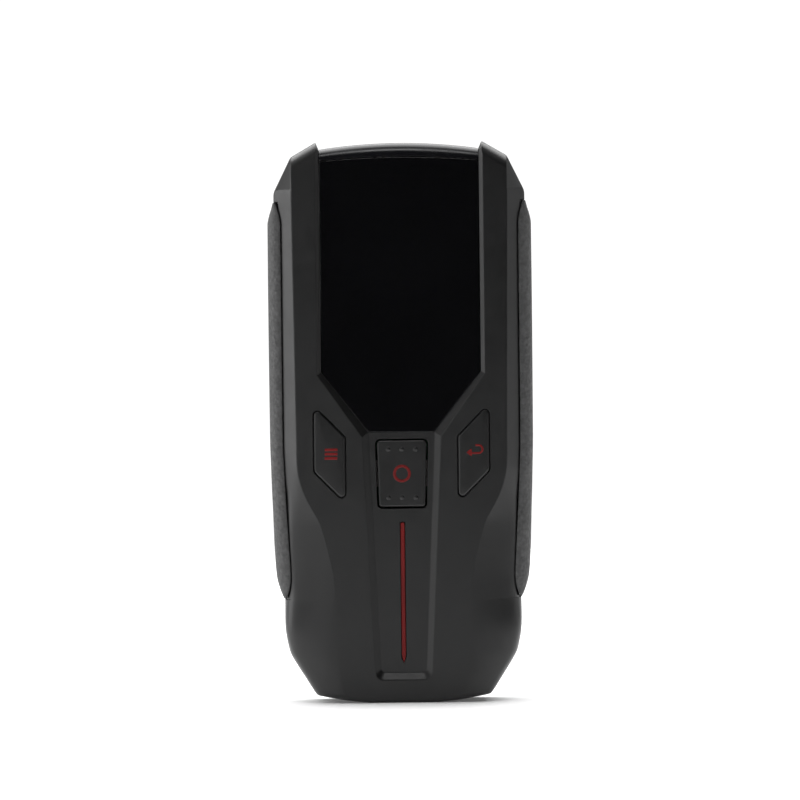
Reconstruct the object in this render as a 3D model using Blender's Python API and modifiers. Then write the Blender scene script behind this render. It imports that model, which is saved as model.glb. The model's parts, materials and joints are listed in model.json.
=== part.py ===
"""Handheld radar detector with a colour display, two side keys and a central rocker key.

Every piece is its own object. Sizes below are millimetres; at() turns them into metres.
X is the width, Z runs up the length from the foot, and depth is measured backwards (+Y)
from the flat shoulders of the face. The model stands on the foot of its housing.
"""

import math

import bmesh
import bpy
from mathutils import Matrix, Vector

MM = 0.001

# Housing
BODY_LENGTH = 148.5
GRIP_WIDTH = 70.0
BODY_DEPTH = 32.0
WALL = 1.8
FACET = 4.8             # 45 degree facet between the face and each side
TOP_ROUND = 3.9         # rounding from the face over the top
FOOT_ROUND = 2.2
FOOT_HALF = 9.0         # flat land that the housing stands on
REAR_CHAMFER = 5.5
PARTING = 14.0          # depth of the seam between the two covers
REAR_TAPER = 0.8        # share of the rear cover's depth that is left at the foot
TAPER_START = 70.0
FIT_GAP = 0.3
SEAM_GAP = 0.2

# Rubber side grips
GRIP_PROUD = 1.7
GRIP_THICKNESS = 2.5
GRIP_BOTTOM = 27.7
GRIP_BACK = 25.4
GRIP_CROWN = 3.5        # width over which a grip's front edge rolls round to its side

# Recessed channel down the face
CHANNEL_DEPTH = 1.1
CHANNEL_INSET = 7.3     # from the edge of the face to the channel floor
RIDGE_BEVEL = 1.0
SHOULDER_Z = 87.5       # where the display starts to narrow
NECK_Z = 71.5
NECK_HALF = 8.8
NECK_BEVEL = 1.6
CHANNEL_FOOT_Z = 8.0
CHANNEL_FOOT_HALF = 6.0
RIDGE_RISE = 1.9        # ridge tips above the edge of the top window
TRAY_BACK = 4.0
TRAY_BORDER = 1.2

# Windows
WINDOW_THICKNESS = 1.1
GASKET_THICKNESS = 0.4
LEDGE = 2.0
TOP_WINDOW_THICKNESS = 1.5
TOP_WINDOW_ROUND = 3.5
TOP_SAG = 1.6
SEAM_DROP = 4.1         # top of the object to the seam between the two windows
SEAM_SAG = 1.0

# Keys
KEY_GAP = 0.35
KEY_HALF = 4.05
KEY_TOP_Z = 80.5
KEY_OUTER_Z = 61.3
KEY_INNER_Z = 70.4
KEY_BOTTOM_Z = 51.3
KEY_PROUD = 0.5
KEY_SOFTENING = 0.35
KEY_FLANGE = 1.0
KEY_FLANGE_THICKNESS = 0.8
KEY_STEM_RADIUS = 1.5
ROCKER_TOP_Z = 69.4
ROCKER_FOOT_Z = 51.8
ROCKER_TOP_HALF = 6.6
ROCKER_FOOT_HALF = 6.15
ROCKER_FRONT = 0.55
ROCKER_BACK = 3.0
ROCKER_PEG_REACH = 6.3
DOT_REACH = 6.4          # from the rocker's middle up or down to a row of dots
DOT_PITCH = 3.6
DOT_RADIUS = 0.65
DOT_RISE = 0.12
PIN_DEPTH = 4.1
PIN_RADIUS = 0.65
LUG_HALF = 2.4
CARRIER_FRONT = 5.85
CARRIER_BACK = 7.0
CARRIER_HALF = 8.3

# Light line
LIGHT_WIDTH = 1.0
LIGHT_TOP_Z = 47.6
LIGHT_FOOT_Z = 10.6
LIGHT_BACK = 8.8

# Electronics
BOARD_FRONT = 10.3
BOARD_THICKNESS = 1.6
BOARD_FOOT_Z = 9.0
BOARD_TOP_DROP = 9.0
BOARD_EDGE = 3.4        # inner wall to the edge of the board
SWITCH_SIZE = 4.5
SWITCH_THROW_TOP = 3.5  # plunger tip above the board
PLUNGER_RADIUS = 1.2
LCD_FRONT = 4.3
LCD_FOOT_DROP = 3.5
LCD_TOP_DROP = 7.5
RIBBON_REACH = 5.0      # up the back of the display from its foot
RIBBON_HALF = 6.0
RIBBON_THICKNESS = 0.3
SHIELD_HALF = 12.0
SENSOR_DROP = 8.0
SENSOR_HEIGHT = 5.0
HORN_LENGTH = 33.0
HORN_WALL = 1.0
SPEAKER_DROP = 60.5     # top of the object to the middle of the speaker
SPEAKER_RADIUS = 13.0
BATTERY_FOOT_Z = 16.0
BATTERY_FOAM = 3.0
PORT_HALF = 4.5
PORT_FRONT = 6.9
PORT_THICKNESS = 3.2
PAD_HALF = 15.0
PAD_HEIGHT = 26.0
PAD_DROP = 30.0
PAD_THICKNESS = 1.2
PAD_PROUD = 0.4

# Fasteners
BOSS_RADIUS = 2.6
BOSS_HOLE = 1.1
SCREW_RADIUS = 0.8
SCREW_HEAD_RADIUS = 1.7
SCREW_HEAD_SEAT = 24.0
UPPER_BOSS_DROP = 22.0
LOWER_BOSS_Z = 22.0
POST_X = 15.0
POST_Z = 46.0
POST_RADIUS = 2.2

# Sizes that follow from those above
BODY_HALF = GRIP_WIDTH / 2 - GRIP_PROUD
FACE_HALF = BODY_HALF - FACET
POCKET_HALF = GRIP_WIDTH / 2 - GRIP_THICKNESS - FIT_GAP
GRIP_TOP = BODY_LENGTH - 15.9
CHANNEL_HALF = FACE_HALF - CHANNEL_INSET
REAR_START = PARTING + FIT_GAP
SPEAKER_Z = BODY_LENGTH - SPEAKER_DROP
LCD_FOOT_Z = SHOULDER_Z - LCD_FOOT_DROP
SENSOR_TOP_Z = BODY_LENGTH - SENSOR_DROP
KEY_X = (NECK_HALF + NECK_BEVEL + FACE_HALF - 0.8) / 2
KEY_Z = (KEY_TOP_Z + KEY_BOTTOM_Z) / 2
ROCKER_Z = (ROCKER_TOP_Z + ROCKER_FOOT_Z) / 2
LEDGE_FRONT = CHANNEL_DEPTH + WINDOW_THICKNESS + GASKET_THICKNESS + 2 * SEAM_GAP
UPPER_BOSS = (BODY_HALF - 7.7, BODY_LENGTH - UPPER_BOSS_DROP)
LOWER_BOSS = (BODY_HALF - 10.8, LOWER_BOSS_Z)
CENTRE_DEPTH = (BODY_DEPTH + PAD_PROUD - KEY_PROUD) / 2

PARTS = bpy.data.collections.new("radar_detector")
CUTTERS = bpy.data.collections.new("cutters")


# Helpers

def at(x, z, depth):
    """A point in metres from a place on the object in millimetres."""
    return Vector((x, depth - CENTRE_DEPTH, z)) * MM


def make_material(name, colour, roughness, metallic=0.0, transmission=0.0):
    material = bpy.data.materials.new(name)
    material.use_nodes = True
    shader = material.node_tree.nodes["Principled BSDF"]
    shader.inputs["Base Color"].default_value = (*colour, 1.0)
    shader.inputs["Roughness"].default_value = roughness
    shader.inputs["Metallic"].default_value = metallic
    shader.inputs["Transmission Weight"].default_value = transmission
    return material


def add_object(name, bm, origin=Vector()):
    """Link a mesh drawn in world space as an object with its origin at the given point."""
    bmesh.ops.recalc_face_normals(bm, faces=bm.faces)
    bmesh.ops.translate(bm, verts=bm.verts, vec=-origin)
    mesh = bpy.data.meshes.new(name)
    bm.to_mesh(mesh)
    bm.free()
    obj = bpy.data.objects.new(name, mesh)
    obj.location = origin
    PARTS.objects.link(obj)
    return obj


def combine(target, tool, operation):
    """Add a tool to the target's last Boolean if that is of the same kind, or else to a new one."""
    modifier = target.modifiers[-1] if target.modifiers else None
    if modifier is None or modifier.type != "BOOLEAN" or modifier.operation != operation:
        tools = bpy.data.collections.new(f"{target.name}_{operation.lower()}")
        CUTTERS.children.link(tools)
        modifier = target.modifiers.new(tools.name, "BOOLEAN")
        modifier.operation = operation
        modifier.operand_type = "COLLECTION"
        modifier.collection = tools
    PARTS.objects.unlink(tool)
    modifier.collection.objects.link(tool)
    tool.hide_render = True
    tool.display_type = "WIRE"


def cut(target, tool):
    combine(target, tool, "DIFFERENCE")


def join(target, tool):
    combine(target, tool, "UNION")


def finish(obj, material, smooth_angle=35):
    obj.data.materials.clear()
    obj.data.materials.append(material)
    obj.data.shade_smooth()
    obj.data.set_sharp_from_angle(angle=math.radians(smooth_angle))
    return obj


def box(name, x, z, depth):
    """A block between two widths, two heights and two depths."""
    middle = at(sum(x) / 2, sum(z) / 2, sum(depth) / 2)
    size = Vector((x[1] - x[0], depth[1] - depth[0], z[1] - z[0])) * MM
    bm = bmesh.new()
    bmesh.ops.create_cube(bm, size=1.0, matrix=Matrix.Translation(middle) @ Matrix.Diagonal(size).to_4x4())
    return add_object(name, bm, middle)


def rod(name, start, end, radius, sides=20):
    """A cylinder between two places."""
    first, last = at(*start), at(*end)
    turn = (last - first).to_track_quat("Z", "Y").to_matrix().to_4x4()
    bm = bmesh.new()
    bmesh.ops.create_cone(
        bm, cap_ends=True, segments=sides, radius1=radius * MM, radius2=radius * MM,
        depth=(last - first).length, matrix=Matrix.Translation((first + last) / 2) @ turn)
    return add_object(name, bm, (first + last) / 2)


def prism(name, outline, depth, origin=Vector()):
    """An outline in X and Z, extruded from one depth to another."""
    bm = bmesh.new()
    face = bm.faces.new([bm.verts.new(at(x, z, depth[0])) for x, z in outline])
    grown = bmesh.ops.extrude_face_region(bm, geom=[face])
    moved = [v for v in grown["geom"] if isinstance(v, bmesh.types.BMVert)]
    bmesh.ops.translate(bm, verts=moved, vec=(0, (depth[1] - depth[0]) * MM, 0))
    return add_object(name, bm, origin)


def sheet(name, lines, thickness):
    """An open surface through lines of (x, z, depth) places, made solid by Solidify."""
    bm = bmesh.new()
    grid = [[bm.verts.new(at(*place)) for place in line] for line in lines]
    for first, second in zip(grid, grid[1:]):
        for j in range(len(first) - 1):
            bm.faces.new((first[j], second[j], second[j + 1], first[j + 1]))
    mesh = bpy.data.meshes.new(name)
    bm.to_mesh(mesh)
    bm.free()
    obj = bpy.data.objects.new(name, mesh)
    PARTS.objects.link(obj)
    thicken = obj.modifiers.new("thickness", "SOLIDIFY")
    thicken.thickness = thickness * MM
    thicken.offset = -1
    thicken.use_even_offset = True
    return obj


def loft(name, rings, origin=Vector()):
    """A solid through rings of (x, z, depth) places, with a flat cap at each end."""
    bm = bmesh.new()
    loops = [[bm.verts.new(at(*place)) for place in ring] for ring in rings]
    join_loops(bm, loops)
    bm.faces.new(loops[0])
    bm.faces.new(loops[-1])
    return add_object(name, bm, origin)


def join_loops(bm, loops):
    count = len(loops[0])
    for first, second in zip(loops, loops[1:]):
        for i in range(count):
            j = (i + 1) % count
            bm.faces.new((first[i], first[j], second[j], second[i]))


def shell_loft(name, rings):
    """A loft whose rings are right-hand places, top to foot. The back is capped row by row."""
    bm = bmesh.new()
    loops = [[bm.verts.new(at(*place)) for place in ring + [(-x, z, d) for x, z, d in reversed(ring)]]
             for ring in rings]
    join_loops(bm, loops)
    bm.faces.new(loops[0])
    back = loops[-1]
    for i in range(len(rings[0]) - 1):
        bm.faces.new((back[i], back[i + 1], back[-2 - i], back[-1 - i]))
    return add_object(name, bm)


def turned(name, points, place, tip, steps=24):
    """A profile of (radius, height) points, turned about the line from place towards tip."""
    bm = bmesh.new()
    verts = [bm.verts.new((radius * MM, 0, height * MM)) for radius, height in points]
    for first, second in zip(verts, verts[1:]):
        bm.edges.new((first, second))
    if points[0][0] > 0:
        bm.edges.new((verts[-1], verts[0]))
    mesh = bpy.data.meshes.new(name)
    bm.to_mesh(mesh)
    bm.free()
    obj = bpy.data.objects.new(name, mesh)
    PARTS.objects.link(obj)
    obj.location = at(*place)
    obj.rotation_mode = "QUATERNION"
    obj.rotation_quaternion = (at(*tip) - at(*place)).to_track_quat("Z", "Y")
    screw = obj.modifiers.new("turn", "SCREW")
    screw.steps = steps
    screw.render_steps = steps
    screw.use_merge_vertices = True
    screw.merge_threshold = 0.00001
    return obj


def mirrored(right):
    """A closed outline from its right-hand points, given from the top down."""
    return right + [(-x, z) for x, z in reversed(right)]


def offset_outline(points, distance):
    """Move every side of a closed outline outwards, or inwards where distance is negative."""
    count = len(points)
    area = sum(points[i - 1][0] * points[i][1] - points[i][0] * points[i - 1][1] for i in range(count))
    turn = math.copysign(1.0, area)
    moved = []
    for i in range(count):
        corner = Vector(points[i])
        before = (corner - Vector(points[i - 1])).normalized()
        after = (Vector(points[(i + 1) % count]) - corner).normalized()
        normals = [Vector((side.y, -side.x)) * turn for side in (before, after)]
        middle = (normals[0] + normals[1]).normalized()
        moved.append(tuple(corner + middle * distance / middle.dot(normals[0])))
    return moved


def rounded(points, radii, steps=4):
    """Swing each corner of a closed outline into an arc. A radius of 0 keeps the corner."""
    outline = []
    for i, radius in enumerate(radii):
        corner = Vector(points[i])
        if radius == 0:
            outline.append(tuple(corner))
            continue
        before = (Vector(points[i - 1]) - corner).normalized()
        after = (Vector(points[(i + 1) % len(points)]) - corner).normalized()
        half = before.angle(after) / 2
        centre = corner + (before + after).normalized() * radius / math.sin(half)
        first = corner + before * radius / math.tan(half) - centre
        sweep = -first.angle_signed(corner + after * radius / math.tan(half) - centre)
        for step in range(steps + 1):
            spoke = first.copy()
            spoke.rotate(Matrix.Rotation(sweep * step / steps, 2))
            outline.append(tuple(centre + spoke))
    return outline


# Housing shape

def taper(z, depth):
    """The rear cover gets shallower towards the foot."""
    if depth <= REAR_START:
        return depth
    share = REAR_TAPER + (1 - REAR_TAPER) * min(max(z / TAPER_START, 0), 1)
    return REAR_START + (depth - REAR_START) * share


def inside_back(z):
    return taper(z, BODY_DEPTH) - WALL


def top_z(x):
    """The arched line of the top window."""
    return BODY_LENGTH - FIT_GAP - TOP_SAG * (x / CHANNEL_HALF) ** 2


def seam_z(x):
    """The arched seam between the display window and the top window."""
    return BODY_LENGTH - SEAM_DROP - SEAM_SAG * (x / CHANNEL_HALF) ** 2


def body_rows():
    """Right-hand rows, top to foot: face place, side place, back place, and how the face turns."""
    top, half, face, pocket = BODY_LENGTH, BODY_HALF, FACE_HALF, POCKET_HALF
    rows = []
    for i in range(3):
        x = CHANNEL_HALF * (i + 1) / 3
        rows.append(((x, top - 3.0 - 0.2 * i), (x, top_z(x)), (x, top - REAR_CHAMFER - 0.3 * i), "round"))
    ridge = CHANNEL_HALF + 0.8
    foot_corner = face - 13.5
    rows += [
        ((ridge, top - TOP_ROUND), (ridge, top), (ridge - 0.4, top - 6.6), "round"),
        ((face, top - 7.7), (face + 0.2, top - 3.9), (half - 7.8, top - 9.2), "round"),
        ((face, top - 13.2), (half, top - 13.2), (half - 5.5, top - 15.0), "facet"),
        ((face, GRIP_TOP + 0.3), (half, GRIP_TOP + 0.3), (half - 5.5, GRIP_TOP + 0.3), "facet"),
        ((face, GRIP_TOP + 0.2), (pocket, GRIP_TOP + 0.2), (half - 5.5, GRIP_TOP + 0.2), "facet"),
        ((face - 0.7, TAPER_START), (pocket - 0.1, TAPER_START), (half - 6.6, TAPER_START), "facet"),
    ]
    # The cheeks, where the facet melts into a soft curve: height, face inset, side inset, softness.
    for z, inset, side_inset, softness in (
            (62.5, 0.8, 0.1, 0.0), (58.5, 1.5, 0.2, 0.25), (55.0, 2.7, 0.35, 0.55), (51.5, 4.5, 0.5, 0.8),
            (48.0, 6.5, 0.6, 0.92), (45.0, 7.5, 0.75, 0.97), (42.0, 8.3, 0.9, 1.0), (34.0, 10.2, 1.2, 1.0),
            (GRIP_BOTTOM - 0.2, 10.9, 1.4, 1.0)):
        back = half - 6.7 - 0.8 * side_inset
        rows.append(((face - inset, z), (pocket - side_inset, z), (back, z), softness))
    rows += [
        ((face - 10.9, GRIP_BOTTOM - 0.3), (half - 1.85, GRIP_BOTTOM - 0.3),
         (half - 7.7, GRIP_BOTTOM - 0.3), 1.0),
        ((face - 11.3, 20.0), (half - 1.9, 20.0), (half - 7.9, 20.6), 1.0),
        ((face - 11.5, 14.6), (half - 2.8, 14.6), (half - 8.6, 16.0), 1.0),
        ((face - 11.6, 12.2), (half - 3.7, 12.2), (half - 9.3, 14.2), 1.0),
        ((face - 12.0, 7.0), (half - 7.3, 6.4), (half - 12.3, 10.2), 1.0),
        ((face - 13.0, 2.7), (half - 9.9, 2.4), (half - 14.4, 7.8), 1.0),
        ((foot_corner, 2.2), (half - 10.7, 1.85), (half - 15.1, 7.3), 1.0),
        (((FOOT_HALF + 1.4 * foot_corner) / 2.4, 1.6), ((FOOT_HALF + half - 10.7) / 2, 0.75),
         ((FOOT_HALF + half - 15.1) / 2, 6.5), "foot"),
        ((FOOT_HALF, 1.2), (FOOT_HALF, 0.0), (FOOT_HALF - 0.5, 5.9), "foot"),
    ]
    return rows


def share_at(row, depth):
    """How far a row has gone from its face place to its side place at a depth."""
    face, side, _, turn = row
    if turn in ("round", "foot"):
        radius = TOP_ROUND if turn == "round" else FOOT_ROUND
        return math.sqrt(max(0.0, 1 - max(0.0, 1 - depth / radius) ** 2))
    straight = min(depth / (side[0] - face[0]), 1.0)
    if turn == "facet":
        return straight
    soft = (1 - max(0.0, 1 - depth / 9) ** 4) ** 0.6
    return straight + (soft - straight) * turn


def place_at(row, depth):
    share = share_at(row, depth)
    face, side = row[0], row[1]
    return (face[0] + (side[0] - face[0]) * share, face[1] + (side[1] - face[1]) * share, depth)


def pocket_x(z, depth):
    """Half width of the housing at a height within the grip pockets."""
    rows = [row for row in body_rows() if GRIP_BOTTOM - 0.25 < row[1][1] < GRIP_TOP + 0.25]
    z = min(max(z, rows[-1][1][1]), rows[0][1][1])
    for upper, lower in zip(rows, rows[1:]):
        if z >= lower[1][1]:
            share = (z - lower[1][1]) / (upper[1][1] - lower[1][1])
            low, high = place_at(lower, depth)[0], place_at(upper, depth)[0]
            return low + (high - low) * share


def cavity_rows():
    """The body rows that shape the hollow, without the ridge tips and the steps of the grip pockets."""
    rows = body_rows()
    below_top = GRIP_TOP + 1.4
    first = ((CHANNEL_HALF, BODY_LENGTH - 4.8), (CHANNEL_HALF, BODY_LENGTH - RIDGE_RISE), rows[2][2], "round")
    corner = ((FACE_HALF, below_top), (POCKET_HALF, below_top), rows[5][2], "facet")
    kept = [row for row in rows[6:] if row[1][1] < GRIP_TOP and row[1][1] != GRIP_BOTTOM - 0.3]
    return [first, rows[4], corner] + kept[:-4] + [kept[-3], kept[-1]]


def cavity_ring(depth):
    """Right-hand outline of the hollow at a depth, a wall's thickness inside the face and sides."""
    rows = cavity_rows()
    face = [place_at(row, depth - WALL)[:2] for row in rows]
    side = [row[1] for row in rows]
    under_face = offset_outline(mirrored(face), -0.42 * WALL)
    in_sides = offset_outline(mirrored(side), -WALL)
    places = []
    for row, near, far in zip(rows, under_face, in_sides):
        upper = row[1][1] > BODY_LENGTH / 2
        places.append((min(near[0], far[0]), min(near[1], far[1]) if upper else max(near[1], far[1]), depth))
    return places


def channel_outline(bevel, neck_bevel, top):
    """The channel in the face: two long sides, a shoulder, a neck and a rounded foot."""
    drop = 0.6 * bevel
    right = [
        (CHANNEL_HALF + bevel, top), (CHANNEL_HALF + bevel, SHOULDER_Z - drop),
        (NECK_HALF + neck_bevel, NECK_Z - 0.7 * neck_bevel),
        (CHANNEL_FOOT_HALF + 0.9 * neck_bevel, CHANNEL_FOOT_Z - 1.2 * neck_bevel)]
    radii = [0, 0, 0, 1.0 + 0.75 * neck_bevel]
    return rounded(mirrored(right), radii + radii[::-1], 4)


def window_outline(inset):
    """The display window: the channel floor above the neck, with an arched top."""
    right = [(CHANNEL_HALF, SHOULDER_Z), (NECK_HALF, NECK_Z)]
    steps = 4
    arch = [(CHANNEL_HALF * i / steps, seam_z(CHANNEL_HALF * i / steps)) for i in range(steps + 1)]
    return offset_outline(mirrored(arch[1:] + right), -inset)


def key_outline(side, grow):
    """A side key: a slanted four-sided button. side is 1 for the right and -1 for the left."""
    corners = [
        (KEY_X + KEY_HALF, KEY_TOP_Z), (KEY_X + KEY_HALF, KEY_OUTER_Z),
        (KEY_X - KEY_HALF, KEY_BOTTOM_Z), (KEY_X - KEY_HALF, KEY_INNER_Z)]
    radii = [1.0 + grow, 1.5 + grow, 1.0 + grow, 1.5 + grow]
    outline = rounded(offset_outline(corners, grow), radii, 3)
    return [(side * x, z) for x, z in outline]


def rocker_outline(grow):
    right = [(ROCKER_TOP_HALF, ROCKER_TOP_Z), (ROCKER_FOOT_HALF, ROCKER_FOOT_Z)]
    radius = 0.9 + grow
    return rounded(offset_outline(mirrored(right), grow), [radius] * 4, 3)


def ring(outline, depth):
    return [(x, z, depth) for x, z in outline]


def boss_places():
    return [(side * x, z) for x, z in (UPPER_BOSS, LOWER_BOSS) for side in (1, -1)]


# Pieces

def make_front_cover(material):
    rows = body_rows()
    depths = [0, 0.35, 1.2, 2.7, 3.8, FACET, 6.5, 9.0, PARTING]
    cover = shell_loft_flat("front_cover", [[place_at(row, depth) for row in rows] for depth in depths])
    hollow_depths = (WALL, WALL + 1.2, WALL + 2.7, WALL + FACET, WALL + 9, PARTING + 1)
    cut(cover, shell_loft_flat("front_hollow", [cavity_ring(depth) for depth in hollow_depths]))
    tray = offset_outline(channel_outline(RIDGE_BEVEL, NECK_BEVEL, BODY_LENGTH - 4.4), TRAY_BORDER)
    join(cover, prism("channel_tray", tray, (0.9, TRAY_BACK)))
    for i, (x, z) in enumerate(boss_places()):
        join(cover, rod(f"front_boss_{i + 1}", (x, z, 1.3 if z > SHOULDER_Z else 2.2),
                        (x, z, PARTING - SEAM_GAP), BOSS_RADIUS))
    for side_sign in (1, -1):
        join(cover, rod(f"board_post_{side_sign}", (side_sign * POST_X, POST_Z, 1.2),
                        (side_sign * POST_X, POST_Z, BOARD_FRONT - FIT_GAP), POST_RADIUS))
    cut_face_openings(cover)
    for i, (x, z) in enumerate(boss_places()):
        cut(cover, rod(f"pilot_{i + 1}", (x, z, 5.5), (x, z, PARTING + 1), BOSS_HOLE, 12))
    for side_sign in (1, -1):
        cut(cover, rod(f"post_pilot_{side_sign}", (side_sign * POST_X, POST_Z, 4.5),
                       (side_sign * POST_X, POST_Z, BOARD_FRONT + 1), 1.0, 12))
    cut(cover, box("port_opening", (-PORT_HALF - 0.4, PORT_HALF + 0.4), (-1, 3.5),
                   (PORT_FRONT - 0.4, PORT_FRONT + PORT_THICKNESS + 0.4)))
    return finish(cover, material)


def shell_loft_flat(name, rings):
    """A loft of right-hand places mirrored to the left, with both ends flat."""
    return loft(name, [part + [(-x, z, d) for x, z, d in reversed(part)] for part in rings])


def cut_face_openings(cover):
    above = BODY_LENGTH + 3
    rim = channel_outline(RIDGE_BEVEL, NECK_BEVEL, above)
    floor = channel_outline(0, 0, above)
    arch = [(CHANNEL_HALF * i / 4, seam_z(CHANNEL_HALF * i / 4)) for i in range(-4, 5)]
    notch = arch + [(CHANNEL_HALF, above), (-CHANNEL_HALF, above)]
    cut(cover, loft("channel", [ring(rim, -3), ring(rim, 0), ring(floor, CHANNEL_DEPTH)]))
    cut(cover, prism("top_notch", notch, (-2, PARTING + 1)))
    cut(cover, prism("window_pocket", window_outline(0), (0.5, LEDGE_FRONT)))
    cut(cover, prism("window_opening", window_outline(LEDGE), (0.5, TRAY_BACK + 1)))
    for side in (1, -1):
        cut(cover, prism(f"key_opening_{side}", key_outline(side, KEY_GAP), (-1, WALL + 2)))
        cut(cover, prism(f"flange_space_{side}", key_outline(side, KEY_FLANGE + KEY_GAP),
                         (WALL - 0.05, TRAY_BACK + 1)))
    cut(cover, prism("rocker_opening", rocker_outline(KEY_GAP), (-1, TRAY_BACK + 1)))
    cut(cover, prism("light_slot", light_outline(SEAM_GAP), (-1, TRAY_BACK + 1)))


def make_rear_cover(material):
    rows = body_rows()
    straight = BODY_DEPTH - REAR_CHAMFER
    stages = [(REAR_START, 0.0), (straight, 0.0), (straight + 0.56 * REAR_CHAMFER, 0.42), (BODY_DEPTH, 1.0)]
    rings = []
    for depth, share in stages:
        places = []
        for _, side, back, _ in rows:
            x = side[0] + (back[0] - side[0]) * share
            z = side[1] + (back[1] - side[1]) * share
            places.append((x, z, taper(z, depth)))
        rings.append(places)
    cover = shell_loft("rear_cover", rings)

    side = cavity_ring(PARTING)
    back = offset_outline(mirrored([row[2] for row in cavity_rows()]), -0.42 * WALL)[:len(side)]
    turn = straight - 0.42 * WALL
    hollow = [
        [(x, z, REAR_START - 1) for x, z, _ in side],
        [(x, z, taper(z, turn)) for x, z, _ in side],
        [(x, z, inside_back(z)) for x, z in back]]
    cut(cover, shell_loft("rear_hollow", hollow))
    for i, (x, z) in enumerate(boss_places()):
        root = inside_back(z) + 0.6
        join(cover, rod(f"rear_boss_{i + 1}", (x, z, REAR_START), (x, z, root), BOSS_RADIUS + 0.4))
    cut(cover, box("rear_notch", (-CHANNEL_HALF, CHANNEL_HALF), (BODY_LENGTH - 7, BODY_LENGTH + 2),
                   (REAR_START - 2, straight - 0.1)))
    for i, (x, z) in enumerate(boss_places()):
        cut(cover, rod(f"screw_hole_{i + 1}", (x, z, PARTING - 1), (x, z, SCREW_HEAD_SEAT + 1),
                       BOSS_HOLE, 12))
        cut(cover, rod(f"head_hole_{i + 1}", (x, z, SCREW_HEAD_SEAT), (x, z, BODY_DEPTH + 2),
                       SCREW_HEAD_RADIUS + FIT_GAP, 16))
    cut_speaker_slots(cover)
    pad_floor = BODY_DEPTH + PAD_PROUD - PAD_THICKNESS - SEAM_GAP
    cut(cover, prism("pad_pocket", pad_outline(SEAM_GAP), (pad_floor, BODY_DEPTH + 2)))
    return finish(cover, material)


def cut_speaker_slots(cover):
    for i in range(-3, 4):
        height = i * 2.8
        reach = math.sqrt((SPEAKER_RADIUS - 3) ** 2 - height ** 2)
        ends = [(reach, SPEAKER_Z + height + 0.6), (reach, SPEAKER_Z + height - 0.6)]
        slot = rounded(mirrored(ends), [0.55] * 4, 2)
        cut(cover, prism(f"speaker_slot_{i + 4}", slot, (BODY_DEPTH - WALL - 1, BODY_DEPTH + 1)))


def pad_outline(grow):
    pad_z = BODY_LENGTH - PAD_DROP
    right = [(PAD_HALF, pad_z + PAD_HEIGHT / 2), (PAD_HALF, pad_z - PAD_HEIGHT / 2)]
    return rounded(offset_outline(mirrored(right), grow), [3.0] * 4, 4)


def grip_stations():
    """Height, half width of the front edge, and half width of the outside, top to foot."""
    outer = GRIP_WIDTH / 2
    edge = outer - GRIP_CROWN
    return [
        (GRIP_TOP, edge + 1.55, outer - 1.6), (GRIP_TOP - 1.6, edge + 0.8, outer - 1.05),
        (GRIP_TOP - 3.8, edge + 0.25, outer - 0.35), (GRIP_TOP - 5.8, edge, outer),
        (TAPER_START, edge - 0.05, outer - 0.05),
        (62.5, edge - 0.3, outer - 0.25), (58.5, edge - 0.45, outer - 0.35),
        (55.0, edge - 0.65, outer - 0.45), (51.5, edge - 0.8, outer - 0.6), (48.0, edge - 1.0, outer - 0.7),
        (45.0, edge - 1.2, outer - 0.8), (42.0, edge - 1.35, outer - 0.9),
        (34.0, edge - 1.75, outer - 1.4), (31.0, edge - 1.55, outer - 2.1),
        (GRIP_BOTTOM, edge - 0.6, outer - 3.35)]


def edge_depth(z, edge):
    """The depth at which the housing reaches the grip's front edge."""
    low, high = 0.0, 9.0
    for _ in range(30):
        middle = (low + high) / 2
        if pocket_x(z, middle) + 1.5 * FIT_GAP < edge:
            low = middle
        else:
            high = middle
    return low


def make_grip(name, side, material):
    rings = []
    for z, edge, outer in grip_stations():
        inner = pocket_x(z, PARTING) + FIT_GAP
        front = edge_depth(z, min(edge, inner - 0.1)) + max(0, edge - inner)
        crown = outer - edge
        section = [(edge, front)]
        section += [(edge + crown * across, front + crown * back)
                    for across, back in ((0.314, 0.086), (0.629, 0.314), (0.886, 0.686), (1.0, 1.23))]
        lean = crown / GRIP_CROWN
        section += [(outer, PARTING), (outer, GRIP_BACK - 4.4), (outer - 0.4 * lean, GRIP_BACK - 2.4),
                    (outer - 1.3 * lean, GRIP_BACK - 0.8), (inner + 0.4 * lean + 0.1, GRIP_BACK),
                    (inner, GRIP_BACK - 0.4), (inner, PARTING)]
        for share in (1.0, 0.45, 0.18, 0.08):
            depth = front + (9 - front) * share
            section.append((min(pocket_x(z, depth) + 1.5 * FIT_GAP, inner), depth))
        rings.append([(side * x, z, taper(z, depth)) for x, depth in section])
    return finish(loft(name, rings), material)


def make_display_window(material):
    outline = window_outline(0.12)
    window = prism("display_window", outline, (CHANNEL_DEPTH, CHANNEL_DEPTH + WINDOW_THICKNESS))
    return finish(window, material)


def make_window_gasket(material):
    front = CHANNEL_DEPTH + WINDOW_THICKNESS + SEAM_GAP
    gasket = prism("window_gasket", window_outline(0.3), (front, front + GASKET_THICKNESS))
    cut(gasket, prism("gasket_opening", window_outline(LEDGE - 0.2), (front - 1, front + 2)))
    return finish(gasket, material)


def make_top_window(material):
    """The curved cap that laser light comes in through."""
    half = CHANNEL_HALF - 0.12
    columns = 8
    lines = []
    for i in range(columns + 1):
        x = half * (2 * i / columns - 1)
        top = top_z(x)
        radius = min(TOP_WINDOW_ROUND, top - seam_z(x) - 0.2)
        line = [(x, seam_z(x) + 0.12, CHANNEL_DEPTH)]
        for step in range(5):
            angle = math.radians(22.5 * step)
            line.append((x, top - radius * (1 - math.sin(angle)),
                         CHANNEL_DEPTH + TOP_WINDOW_ROUND * (1 - math.cos(angle))))
        line += [(x, top, PARTING), (x, top, BODY_DEPTH - REAR_CHAMFER - FIT_GAP)]
        lines.append(line)
    return finish(sheet("laser_window", lines, TOP_WINDOW_THICKNESS), material)


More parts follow.
